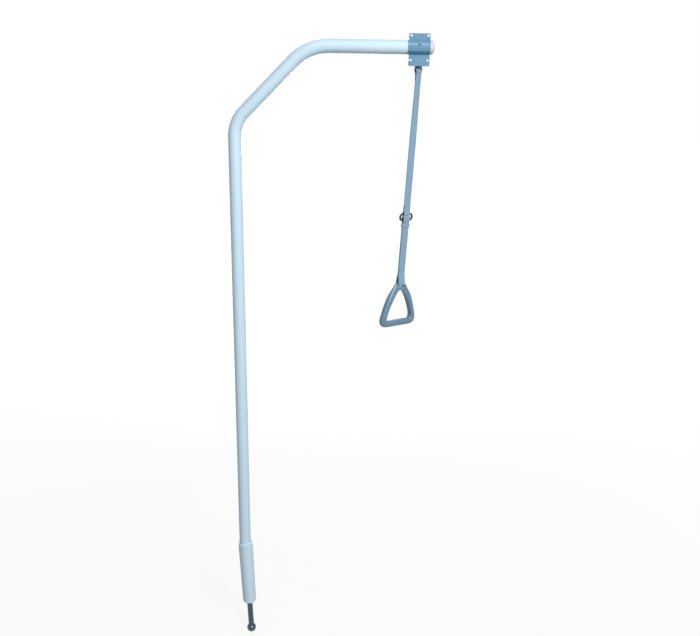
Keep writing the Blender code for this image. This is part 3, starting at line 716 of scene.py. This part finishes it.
def makePlate(name, node, side):  # drawn as its section, then pulled along the arm
    sizes = clampSizes
    crown = sizes["crown"]
    lift = math.asin(sizes["flangeY"] / crown)
    steps = sizes["crownSteps"]
    half = sizes["width"] / 2
    section = [(sizes["flangeY"], sizes["top"])]
    for step in range(steps + 1):
        angle = math.pi / 2 - lift - (math.pi - 2 * lift) * step / steps
        section.append((crown * math.cos(angle), crown * math.sin(angle)))
    section.append((sizes["flangeY"], -sizes["bottom"]))
    points = [(-half, side * y, z) for y, z in section]
    plate = startPoint(name, points[0])
    pullAlong(points)
    selectAll()
    pullTo((sizes["width"], 0, 0))
    closeMesh()
    foldRow = crown * math.cos(lift)
    pick("VERT", lambda vert: abs(abs(vert.co.z) - foldRow) < weldReach)
    bpy.ops.mesh.bevel(offset=sizes["pressing"], segments=sizes["pressingSteps"], affect="EDGES")
    top, bottom = sizes["top"] - weldReach, weldReach - sizes["bottom"]
    pick("VERT", lambda vert: vert.co.z > top or vert.co.z < bottom)
    bpy.ops.mesh.bevel(offset=sizes["corner"], segments=sizes["cornerSteps"], affect="VERTICES")
    turnOutwards()
    mesh = bmesh.from_edit_mesh(plate.data)
    if sum(face.normal.y for face in mesh.faces) * side < 0:  # the sheet is to thicken outwards
        bpy.ops.mesh.flip_normals()
    objectMode()
    applyModifier(plate, "SOLIDIFY", thickness=sizes["thickness"], offset=1, use_even_offset=True)
    roundEdges(plate, sizes["edge"], segments=3, angle=50)
    settle(plate, Matrix.Translation((clampX, 0, armHeight)))
    finishPiece(plate, bracketCoat, "root", [node], smooth=50)


def makeBolt(name, length, head, high):  # domed head with a hexagon socket, head above z = 0
    sizes = clampSizes
    shank, flat, rim, chamfer = (
        sizes["boltRadius"], sizes["headFlat"], sizes["headRim"], sizes["endChamfer"]
    )
    profile = [(0, high)]
    steps = sizes["headSteps"]
    for step in range(steps + 1):
        angle = math.pi / 2 * (1 - step / steps)
        reach = flat + (head - flat) * math.cos(angle)
        profile.append((reach, rim + (high - rim) * math.sin(angle)))
    profile += [(head, 0), (shank, 0), (shank, -length + chamfer), (shank - chamfer, -length)]
    profile.append((0, -length))
    bolt = turnProfile(name, profile, sides=36)
    depth = 2 * sizes["socketDepth"]
    drill(bolt, sides=6, radius=sizes["socketRadius"], depth=depth, location=(0, 0, high))
    return bolt


def makeNut(name):  # hexagon blank, bored and chamfered
    sizes = clampSizes
    corner = sizes["nutFlats"] / math.sqrt(3)
    bpy.ops.mesh.primitive_cylinder_add(vertices=6, radius=corner, depth=sizes["nutHeight"])
    nut = named(name)
    editMode(nut)
    pick("FACE", lambda face: abs(face.normal.z) > facing)
    bpy.ops.mesh.inset(thickness=sizes["nutInset"])
    bpy.ops.transform.resize(value=(1, 1, sizes["nutCrown"]))
    objectMode()
    bore = sizes["boltRadius"] + sizes["nutFit"]
    drill(nut, sides=32, radius=bore, depth=sizes["cutterLength"])
    roundEdges(nut, sizes["nutEdge"], segments=2, angle=40)
    return nut


def makeClamp():
    sizes = clampSizes
    makePlate("clampFront", "clamp_front", -1)
    makePlate("clampBack", "clamp_back", 1)
    face = sizes["flangeY"] + sizes["thickness"] + rig["seatGap"]
    shank = 2 * face + sizes["nutHeight"] + sizes["boltEnd"]
    bolt = makeBolt("boltBlank", shank, sizes["headRadius"], sizes["headHeight"])
    nut = makeNut("nutBlank")
    lying = Matrix.Rotation(math.pi / 2, 4, "X")
    rows = (("top", sizes["boltRise"]), ("bottom", -sizes["boltDrop"]))
    corners = [(*row, *hand) for row in rows for hand in (("Left", -1), ("Right", 1))]
    for count, (row, height, hand, side) in enumerate(corners):
        turn = lying @ Matrix.Rotation(sizes["boltTurn"] * count, 4, "Z")
        for kind, blank, y in (("bolt", bolt, -face), ("nut", nut, face + sizes["nutHeight"] / 2)):
            piece = copyPiece(blank, f"{kind}_{row}{hand}")
            spot = (clampX + side * sizes["boltSpread"], y, armHeight + height)
            settle(piece, Matrix.Translation(spot) @ turn)
            node = f"clamp_{kind}_{row}_{hand.lower()}"
            finishPiece(piece, zincSteel, "root", [node], smooth=35)
    discard(bolt)
    discard(nut)

    crownFace = sizes["crown"] + sizes["thickness"] + rig["seatGap"]
    length = crownFace - rig["tubeRadius"] + poleSizes["wall"]
    length += sizes["screwReach"] - sizes["thickness"]
    head, high = sizes["screwHeadRadius"], sizes["screwHeadHeight"]
    screw = makeBolt("locatingScrew", length, head, high)
    turn = Matrix.Rotation(math.pi / 2 - sizes["screwTilt"], 4, "X")
    middle = Matrix.Translation((clampX, 0, armHeight))
    settle(screw, middle @ turn @ Matrix.Translation((0, 0, crownFace)))
    finishPiece(screw, screwSteel, "root", ["locating_screw"], smooth=35)


makeClamp()
print("clamp done")


# Strap's line: a frame at each distance below the eye's bar, X across, Y through, Z up

strapSizes = {
    "eyeWire": 0.0020,
    "eyeWidth": 0.027,
    "eyeCorner": 0.003,
    "stemRadius": 0.003,
    "stemEnd": 0.0005,
    "stemChamfer": 0.0004,
    "collarRadius": 0.005,
    "collarHeight": 0.005,
    "collarEdge": 0.0004,
    "width": 0.025,
    "thickness": 0.0016,
    "edgeShare": 0.38,  # of the thickness, rounded off
    "lean": math.radians(2.7),
    "leanRun": 0.060,
    "leanSteps": 40,
    "yawAtEye": math.radians(50),
    "yawAtHandle": math.radians(39),
    "twistStart": 0.020,
    "twistRun": 0.200,
    "upperLength": 0.405,
    "lowerLength": 0.197,
    "fold": 0.012,
    "foldLead": 0.0005,
    "sewn": 0.026,
    "sewnEase": 0.012,
    "pinchRun": 0.0105,
    "ringWire": 0.0030,
    "ringHalfWidth": 0.0225,
    "ringSpacing": 0.017,
    "ringCorner": 0.007,
    "leafGap": 0.0008,
    "leafSlack": 0.0001,
    "handleFlare": 0.040,
    "gripBar": 0.0050,
    "gripLooseness": 0.0005,
    "looseness": 0.0004,
    "eyeFoldRise": 0.0018,
    "ringFoldRise": 0.0064,
    "pullStep": 0.006,
    "lowerPullStep": 0.004,
}
eyeBarZ = eyeBox[0].z + strapSizes["eyeWire"]
ringTop = strapSizes["upperLength"]
ringBottom = ringTop + strapSizes["ringSpacing"]
handleDrop = ringBottom + strapSizes["lowerLength"]


def strapFrame(drop):
    sizes = strapSizes
    steps = sizes["leanSteps"]
    below = max(drop, 0)
    place = Vector((clampX, 0, eyeBarZ - min(drop, 0)))
    for step in range(steps):
        lean = sizes["lean"] * easeInOut(below * (step + 0.5) / steps / sizes["leanRun"])
        place += Vector((-math.sin(lean), 0, -math.cos(lean))) * below / steps
    lean = sizes["lean"] * easeInOut(drop / sizes["leanRun"])
    up = Vector((math.sin(lean), 0, math.cos(lean)))
    turned = easeInOut((drop - sizes["twistStart"]) / sizes["twistRun"])
    yaw = sizes["yawAtEye"] + (sizes["yawAtHandle"] - sizes["yawAtEye"]) * turned
    across = Vector((math.cos(yaw), math.sin(yaw), 0))
    across = (across - up * across.dot(up)).normalized()
    turn = Matrix((across, up.cross(across), up)).transposed().to_4x4()
    return Matrix.Translation(place) @ turn


def hangPiece(piece):  # follows the strap's line: x across, y through, z is minus the distance down
    for vert in piece.data.vertices:
        x, y, z = vert.co
        vert.co = strapFrame(-z) @ Vector((x, y, 0))
    piece.data.update()


def makeWebbing(name, course, width):  # one edge of webbing pulled along (through, down) points
    points = [(-width / 2, through, -down) for through, down in course]
    piece = startPoint(name, points[0])
    pullTo((width, 0, 0))
    selectAll()
    pullAlong(points)
    lengths = [0]
    for start, end in zip(course, course[1:]):
        lengths.append(lengths[-1] + math.dist(start, end))
    writeUv(piece, lambda vert: (vert.co.x / width + 0.5, lengths[vert.index // 2] / width))
    return piece


def thicken(piece, thickness):
    applyModifier(piece, "SOLIDIFY", thickness=thickness, offset=0, use_even_offset=True)
    roundEdges(piece, thickness * strapSizes["edgeShare"], segments=3, angle=60)


def barFold(radius, centre, over, steps=14):
    # half a turn from -through to +through, over a bar when over is 1 and under it when -1
    points = []
    for step in range(steps + 1):
        angle = math.pi * step / steps
        points.append((-radius * math.cos(angle), centre - over * radius * math.sin(angle)))
    return points


stitchSizes = {
    "length": 0.0028,
    "pitch": 0.0034,
    "thickness": 0.0007,
    "lift": 0.0001,
    "boxHalfWidth": 0.0095,
    "boxFoldMargin": 0.0015,
    "boxTailMargin": 0.002,
    "rowHalfWidth": 0.0105,
    "rowSpacing": 0.004,
}


def sewLines(name, lines, face, body):
    # lines run from (across, down) to (across, down), face is how far out each side's stitches lie
    sizes = stitchSizes
    bpy.ops.mesh.primitive_uv_sphere_add(segments=8, ring_count=5, radius=0.5)
    blank = bpy.context.object
    made = []
    for through in (-face, face):
        for start, end in lines:
            run = math.dist(start, end)
            count = max(1, round(run / sizes["pitch"]))
            slope = math.atan2(end[0] - start[0], end[1] - start[1])
            for step in range(count):
                share = (step + 0.5) / count
                across = start[0] + (end[0] - start[0]) * share
                down = start[1] + (end[1] - start[1]) * share
                stitch = copyPiece(blank, "stitch")
                stitch.scale = (sizes["thickness"], sizes["thickness"], sizes["length"])
                stitch.rotation_euler = (0, -slope, 0)
                stitch.location = (across, through, -down)
                made.append(stitch)
    discard(blank)
    choose(made[0])
    for stitch in made:
        stitch.select_set(True)
    bpy.ops.object.join()
    seam = named(name)
    bake()
    hangPiece(seam)
    finishPiece(seam, sewingThread, body, [], smooth=60)


def crossBox(top, bottom):  # the usual box with a cross in it
    half = stitchSizes["boxHalfWidth"]
    return [
        ((-half, top), (half, top)),
        ((-half, bottom), (half, bottom)),
        ((-half, top), (-half, bottom)),
        ((half, top), (half, bottom)),
        ((-half, top), (half, bottom)),
        ((half, top), (-half, bottom)),
    ]


def easedLeaf(start, end, first, last, steps):  # a leaf that swings from one offset to another
    points = []
    for step in range(1, steps + 1):
        share = step / steps
        points.append((first + (last - first) * easeInOut(share), start + (end - start) * share))
    return points


def makeUpperStrap():
    sizes = strapSizes
    thick = sizes["thickness"]
    leaf = thick / 2 + sizes["leafSlack"]
    topRadius = sizes["eyeWire"] + sizes["looseness"] + thick / 2
    lowRadius = sizes["ringWire"] + sizes["looseness"] + thick / 2
    sewn, fold, ease, end = sizes["sewn"], sizes["fold"], sizes["sewnEase"], ringTop
    count = round((end - 2 * sewn - 2 * ease) / sizes["pullStep"])
    foldTop = -sizes["eyeFoldRise"]
    eyeLead, ringLead = foldTop + sizes["foldLead"], end - sizes["foldLead"]
    course = [(leaf, sewn), (leaf, fold)]  # the tail behind, then over the eye's bar
    course += easedLeaf(fold, eyeLead, leaf, topRadius, steps=6)
    course += [(-through, down) for through, down in barFold(topRadius, foldTop, 1)]
    course += easedLeaf(eyeLead, fold, -topRadius, -leaf, steps=6)
    course += [(-leaf, sewn)]
    course += easedLeaf(sewn, sewn + ease, -leaf, 0, steps=4)
    course += easedLeaf(sewn + ease, end - sewn - ease, 0, 0, steps=count)
    course += easedLeaf(end - sewn - ease, end - sewn, 0, -leaf, steps=4)
    course += [(-leaf, end - fold)]
    course += easedLeaf(end - fold, ringLead, -leaf, -lowRadius, steps=5)
    course += barFold(lowRadius, end, -1)
    course += easedLeaf(ringLead, end - fold, lowRadius, leaf, steps=5)
    course += [(leaf, end - sewn)]
    strap = makeWebbing("upperStrap", course, sizes["width"])
    objectMode()
    thicken(strap, thick)
    hangPiece(strap)
    finishPiece(strap, webbingCloth, "upper_webbing", ["upper_strap"], smooth=50)
    face = 2 * leaf + stitchSizes["lift"]
    near = fold + stitchSizes["boxFoldMargin"]
    far = sewn - stitchSizes["boxTailMargin"]
    for name, box in (("upperStitches", (near, far)), ("middleStitches", (end - far, end - near))):
        sewLines(name, crossBox(*box), face, "upper_webbing")


def leafHalf(drop):  # half the space between the lower strap's leaves
    sizes = strapSizes
    pinch = sizes["leafGap"] / 2
    nearRing = easeInOut((drop - ringBottom) / sizes["pinchRun"])
    nearGrip = easeInOut((handleDrop - drop) / sizes["handleFlare"])
    ringSide = (sizes["ringWire"] + sizes["looseness"] - pinch) * (1 - nearRing)
    gripSide = (sizes["gripBar"] + sizes["gripLooseness"] - pinch) * (1 - nearGrip)
    return pinch + ringSide + gripSide


def makeLowerStrap():
    sizes = strapSizes
    thick = sizes["thickness"]
    topRadius = sizes["ringWire"] + sizes["looseness"] + thick / 2
    lowRadius = sizes["gripBar"] + sizes["gripLooseness"] + thick / 2
    count = round(sizes["lowerLength"] / sizes["lowerPullStep"])
    drops = [ringBottom + sizes["lowerLength"] * step / count for step in range(1, count)]
    drops = [ringBottom - sizes["ringFoldRise"] / 2, ringBottom] + drops
    left = [(-leafHalf(drop) - thick / 2, drop) for drop in drops]
    right = [(-through, drop) for through, drop in reversed(left)]
    foldCentre = ringBottom - sizes["ringFoldRise"]
    course = [(-through, down) for through, down in barFold(topRadius, foldCentre, 1)]
    course += left + barFold(lowRadius, handleDrop, -1) + right
    course.append(course[0])
    strap = makeWebbing("lowerStrap", course, sizes["width"])
    closeMesh()
    objectMode()
    thicken(strap, thick)
    hangPiece(strap)
    finishPiece(strap, webbingCloth, "lower_webbing", ["lower_strap"], smooth=50)
    face = sizes["leafGap"] / 2 + thick + stitchSizes["lift"]
    half, spacing = stitchSizes["rowHalfWidth"], stitchSizes["rowSpacing"]
    row = handleDrop - sizes["handleFlare"] - spacing
    lines = [((-half, down), (half, down)) for down in (row, row - spacing)]
    sewLines("lowerStitches", lines, face, "lower_webbing")


keeperSizes = {
    "drop": 0.0125,
    "height": 0.0095,
    "wall": 0.0016,
    "depth": 0.0024,
    "corner": 0.0012,
    "cornerSteps": 5,
}


def makeKeeper():  # a short band of the same webbing round both leaves
    sizes = keeperSizes
    strapWidth = strapSizes["width"]
    wide = strapWidth / 2 + strapSizes["looseness"] + sizes["wall"] / 2 - sizes["corner"]
    deep = sizes["depth"] + sizes["wall"] / 2 - sizes["corner"]
    half = sizes["height"] / 2
    keeper = startPoint("strapKeeper", (-wide, -deep - sizes["corner"], -half))
    for side in (1, -1):
        for y, run in ((-deep, (2 * side * wide, 0, 0)), (deep, (0, 2 * side * deep, 0))):
            pullTo(run)
            spot = (side * wide, side * y, -half)
            bpy.ops.mesh.spin(
                steps=sizes["cornerSteps"], angle=-math.pi / 2, center=spot, axis=(0, 0, 1)
            )
    selectAll()
    pullTo((0, 0, sizes["height"]))
    closeMesh()
    writeUv(
        keeper,
        lambda vert: (vert.co.z / strapWidth + 0.5, (vert.co.x + vert.co.y) / strapWidth),
    )
    objectMode()
    thicken(keeper, sizes["wall"])
    settle(keeper, strapFrame(ringBottom + sizes["drop"] + half))
    finishPiece(keeper, webbingCloth, "lower_webbing", ["strap_keeper"], smooth=50)


def wireLoop(name, halfWidth, height, corner, wire):
    # a closed round wire that starts in the middle of its lower bar
    quarter = math.pi / 2
    bend = ("bend", corner, quarter, (0, -1, 0))
    side = ("straight", height - 2 * corner)
    bar = ("straight", 2 * (halfWidth - corner))
    halfBar = ("straight", halfWidth - corner)
    moves = [halfBar, bend, side, bend, bar, bend, side, bend, halfBar]
    moves = [move for move in moves if move[0] == "bend" or move[1] > weldReach]
    loop = runTube(name, (0, 0, 0), (1, 0, 0), wire, moves, sides=24)
    closeMesh()
    objectMode()
    return loop


def makeEye():
    sizes = strapSizes
    high = lipBox[0].z - rig["seatGap"] - sizes["eyeWire"] - eyeBarZ
    half = sizes["eyeWidth"] / 2 + sizes["eyeWire"]
    eye = wireLoop("hangerEye", half, high, sizes["eyeCorner"], sizes["eyeWire"])
    settle(eye, strapFrame(0))
    finishPiece(eye, blackWire, "eye", ["hanger_eye"], smooth=60)
    blockTop = lipBox[1].z
    low = eyeBarZ + high - sizes["stemEnd"]
    top = blockTop + rig["seatGap"] + sizes["collarHeight"] + sizes["stemEnd"]
    shank = sizes["stemRadius"]
    chamfer = sizes["stemChamfer"]
    profile = [(0, low), (shank, low), (shank, top - chamfer), (shank - chamfer, top), (0, top)]
    stem = turnProfile("eyeStem", profile, sides=32)
    settle(stem, Matrix.Translation((clampX, 0, 0)))
    finishPiece(stem, blackWire, "eye", [], smooth=35)

    bore = shank + sizes["looseness"]
    tall, wide = sizes["collarHeight"], sizes["collarRadius"]
    profile = [(bore, 0), (wide, 0), (wide, tall), (bore, tall), (bore, 0)]
    collar = turnProfile("eyeCollar", profile, sides=36)
    roundEdges(collar, sizes["collarEdge"], segments=2, angle=40)
    settle(collar, Matrix.Translation((clampX, 0, blockTop + rig["seatGap"])))
    finishPiece(collar, zincSteel, "eye", ["eye_collar"], smooth=35)


blockSizes = {
    "width": 0.056,
    "depth": 0.0104,
    "lipWidth": 0.021,
    "lipDrop": 0.0028,
    "edge": 0.0005,
    "cutterLength": 0.2,
}


def makeBlock():  # the block between the lower flanges, with a lip that shows below them
    sizes = blockSizes
    low, high = lipBox[0].z, lipBox[1].z
    shelf = low + sizes["lipDrop"] + rig["seatGap"]
    reach = sizes["lipWidth"] / 2

    def onLip(face):
        return face.normal.z < -facing and abs(face.calc_center_median().x - clampX) < reach

    bpy.ops.mesh.primitive_cube_add(size=1, location=(clampX, 0, (shelf + high) / 2))
    block = named("hangerBlock")
    block.scale = (sizes["width"], sizes["depth"], high - shelf)
    bake()
    editMode(block)
    for side in (-1, 1):
        selectAll()
        bpy.ops.mesh.bisect(plane_co=(clampX + side * reach, 0, 0), plane_no=(1, 0, 0))
    pick("FACE", onLip)
    pullTo((0, 0, low - shelf))
    turnOutwards()
    objectMode()
    bore = strapSizes["stemRadius"] + strapSizes["looseness"]
    middle = (clampX, 0, (low + high) / 2)
    drill(block, sides=32, radius=bore, depth=sizes["cutterLength"], location=middle)
    roundEdges(block, sizes["edge"], segments=2, angle=40)
    finishPiece(block, blackPlastic, "root", ["hanger_block"], smooth=35)


def makeRing():
    sizes = strapSizes
    half, high = sizes["ringHalfWidth"], sizes["ringSpacing"]
    ring = wireLoop("strapRing", half, high, sizes["ringCorner"], sizes["ringWire"])
    settle(ring, strapFrame(ringTop) @ Matrix.Translation((0, 0, -high)))
    finishPiece(ring, blackWire, "ring", ["strap_ring"], smooth=60)


makeBlock()
makeEye()
makeUpperStrap()
makeRing()
makeLowerStrap()
makeKeeper()
print("hanger and strap done")


# Hand grip: a ring of quads round the hand hole, thickened and subdivided

gripSizes = {
    "depth": 0.020,
    "neckDepth": 0.0104,
    "neckLength": 0.045,
    "swell": 1.06,  # the cage is this much deeper, since subdividing draws it in
    "barLength": 0.1,
    "slotHalfWidth": 0.0138,
    "slotDepth": 0.0088,
    "slotReach": 0.04,
    "crease": 0.35,
    "holeDrop": 0.075,
    "flatTest": 0.7,  # how squarely a face looks forwards or backwards
    "holeTest": 0.5,  # how squarely a face looks into the hole
}
gripCage = {  # (half width, drop) of the outer and the inner edge, from the neck down to the bar
    "outer": [
        (0.0, -0.0062), (0.0125, -0.0060), (0.0215, -0.0010), (0.0270, 0.0090), (0.0335, 0.0180),
        (0.0420, 0.0300), (0.0510, 0.0500), (0.0580, 0.0700), (0.0640, 0.0910), (0.0705, 0.1110),
        (0.0670, 0.1270), (0.0540, 0.1350), (0.0360, 0.1350), (0.0180, 0.1350), (0.0, 0.1350),
    ],
    "inner": [
        (0.0, 0.0195), (0.0030, 0.0196), (0.0062, 0.0206), (0.0105, 0.0240), (0.0165, 0.0320),
        (0.0230, 0.0410), (0.0310, 0.0560), (0.0385, 0.0730), (0.0445, 0.0890), (0.0478, 0.1010),
        (0.0478, 0.1090), (0.0430, 0.1130), (0.0320, 0.1135), (0.0160, 0.1135), (0.0, 0.1135),
    ],
}


def makeGrip():
    sizes = gripSizes
    (x, drop), (innerX, innerDrop) = gripCage["outer"][0], gripCage["inner"][0]
    grip = startPoint("handGrip", (x, 0, -drop))
    pullTo((innerX - x, 0, drop - innerDrop))
    selectAll()
    for outer, inner in zip(gripCage["outer"][1:], gripCage["inner"][1:]):
        pullTo((0, 0, 0))
        cage = bmesh.from_edit_mesh(grip.data)
        ends = [vert for vert in cage.verts if vert.select]
        ends.sort(key=lambda vert: vert.index)
        targets = [Vector((outer[0], 0, -outer[1])), Vector((inner[0], 0, -inner[1]))]
        if (ends[0].co - targets[0]).length > (ends[1].co - targets[0]).length:
            targets.reverse()
        for vert, target in zip(ends, targets):
            vert.co = target
        bmesh.update_edit_mesh(grip.data)
    closeMesh()
    objectMode()
    applyModifier(grip, "SOLIDIFY", thickness=sizes["depth"] * sizes["swell"], offset=0)
    editMode(grip)
    pick("FACE", onMiddlePlane)
    bpy.ops.mesh.delete(type="FACE")
    objectMode()
    applyModifier(grip, "MIRROR", use_clip=True, merge_threshold=weldReach)
    for vert in grip.data.vertices:
        grow = easeInOut(-vert.co.z / sizes["neckLength"])
        vert.co.y *= (sizes["neckDepth"] + (sizes["depth"] - sizes["neckDepth"]) * grow) / sizes["depth"]
    editMode(grip)
    pick("EDGE", atHole)
    bpy.ops.transform.edge_crease(value=sizes["crease"])
    objectMode()
    applyModifier(grip, "SUBSURF", levels=4, render_levels=4)
    editMode(grip)
    closeMesh()
    objectMode()
    cutSlot(grip)
    settle(grip, strapFrame(handleDrop))
    finishPiece(grip, gripPlastic, "grip", ["hand_grip"])


def onMiddlePlane(face):  # the half's ends, where its mirror image joins on
    return abs(face.normal.x) > facing and abs(face.calc_center_median().x) < weldReach


def atHole(edge):  # where the cage's front or back meets the hand hole
    middle = (edge.verts[0].co + edge.verts[1].co) / 2
    inwards = Vector((-middle.x, 0, -gripSizes["holeDrop"] - middle.z)).normalized()
    onFace = any(abs(face.normal.y) > gripSizes["flatTest"] for face in edge.link_faces)
    inHole = any(face.normal.dot(inwards) > gripSizes["holeTest"] for face in edge.link_faces)
    return onFace and inHole


def cutSlot(grip):  # a rounded slot below the bar that the strap goes round
    sizes = gripSizes
    deep, bar, lying = sizes["slotDepth"], strapSizes["gripBar"], (0, math.pi / 2, 0)
    bpy.ops.mesh.primitive_cube_add(size=1, location=(0, 0, -deep / 2))
    slot = bpy.context.object
    slot.scale = (2 * sizes["slotHalfWidth"], sizes["slotReach"], deep)
    bake()
    drill(slot, sides=48, radius=bar, depth=sizes["barLength"], rotation=lying)
    cutWith(grip, slot)


makeGrip()
print("grip done")


# Inner pieces that stay as the frame has them

for node in ("joint_ferrule", "spigot_core"):
    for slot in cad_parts[node].material_slots:
        slot.material = zincSteel


# Floor, lights and camera

stageSizes = {
    "floorDrop": 0.1315,
    "floorReach": 30.0,
    "floorColour": (0.14, 0.14, 0.14),
    "worldLight": 0.30,
    "nearGlow": 0.84,
    "farGlow": 0.98,
    "nearReach": 1.2,
    "farReach": 4.5,
}


def seenDirectly(tree):  # 1 for what the camera sees, by itself, mirrored or through glass
    paths = tree.nodes.new("ShaderNodeLightPath")
    seen = sums(tree, "MAXIMUM", paths.outputs["Is Camera Ray"], paths.outputs["Is Glossy Ray"])
    return sums(tree, "MAXIMUM", seen, paths.outputs["Is Transmission Ray"])


def makeFloor():  # pale near the object, where it keeps the shadow, and white further off
    sizes = stageSizes
    material, tree, shader = startMaterial("paleFloor", sizes["floorColour"], roughness=0.9)
    setInputs(shader, {"Specular IOR Level": 0.0})
    distance = tree.nodes.new("ShaderNodeVectorMath")
    distance.operation = "LENGTH"
    tree.links.new(coordinates(tree), distance.inputs[0])
    reach = distance.outputs["Value"]
    glow = spread(
        tree, reach, sizes["nearGlow"], sizes["farGlow"], sizes["nearReach"], sizes["farReach"]
    )
    light = tree.nodes.new("ShaderNodeEmission")
    tree.links.new(sums(tree, "MULTIPLY", seenDirectly(tree), glow), light.inputs["Strength"])
    both = tree.nodes.new("ShaderNodeAddShader")
    tree.links.new(shader.outputs[0], both.inputs[0])
    tree.links.new(light.outputs[0], both.inputs[1])
    tree.links.new(both.outputs[0], tree.nodes["Material Output"].inputs["Surface"])
    place = (0, 0, -sizes["floorDrop"])
    bpy.ops.mesh.primitive_plane_add(size=2 * sizes["floorReach"], location=place)
    floor = named("floor")
    bake()
    floor.data.materials.append(material)


def makeWorld():
    world = bpy.data.worlds.new("studio")
    bpy.context.scene.world = world
    world.use_nodes = True
    tree = world.node_tree
    background = tree.nodes["Background"]
    background.inputs["Color"].default_value = (1, 1, 1, 1)
    low = stageSizes["worldLight"]
    strength = spread(tree, seenDirectly(tree), low, 1.0, fromLow=0.0, fromHigh=1.0)
    tree.links.new(strength, background.inputs["Strength"])


lamps = [  # name, place, aim, width, height, power
    ("keyLight", (2.2, -3.2, 2.5), (0.1, 0, 1.3), 1.4, 1.4, 120),
    ("bandLight", (0.4, -2.0, 3.75), (0.4, 0, 1.85), 2.6, 0.30, 16),
    ("fillLight", (-2.6, -2.8, 2.4), (0.1, 0, 1.4), 1.6, 1.6, 5),
    ("backLight", (-0.2, 3.4, 1.6), (0.2, 0, 1.1), 1.5, 1.5, 60),
]


def makeLights():
    for name, place, aim, width, height, power in lamps:
        data = bpy.data.lights.new(name, "AREA")
        data.shape = "RECTANGLE"
        data.size = width
        data.size_y = height
        data.energy = power
        lamp = bpy.data.objects.new(name, data)
        bpy.context.scene.collection.objects.link(lamp)
        lamp.location = place
        towards = Vector(aim) - Vector(place)
        lamp.rotation_euler = towards.to_track_quat("-Z", "Y").to_euler()


cameraSizes = {
    "place": (0.41953, -2.23042, 1.73321),
    "yaw": math.radians(-2.1355),
    "pitch": math.radians(16.9725),
    "roll": math.radians(1.07576),
    "focal": 750.0,  # in pixels of an image 700 wide
    "imageWidth": 700.0,
    "sensorWidth": 36.0,
}


def makeCamera():
    sizes = cameraSizes
    data = bpy.data.cameras.new("photoCamera")
    data.sensor_width = sizes["sensorWidth"]
    data.lens = data.sensor_width * sizes["focal"] / sizes["imageWidth"]
    camera = bpy.data.objects.new("photoCamera", data)
    bpy.context.scene.collection.objects.link(camera)
    turn = Matrix.Rotation(-sizes["yaw"], 4, "Z")
    turn = turn @ Matrix.Rotation(math.pi / 2 - sizes["pitch"], 4, "X")
    turn = turn @ Matrix.Rotation(sizes["roll"], 4, "Z")
    camera.matrix_world = Matrix.Translation(sizes["place"]) @ turn
    bpy.context.scene.camera = camera


makeFloor()
makeWorld()
makeLights()
makeCamera()
bpy.context.scene.view_settings.view_transform = "Standard"
print("stage done")
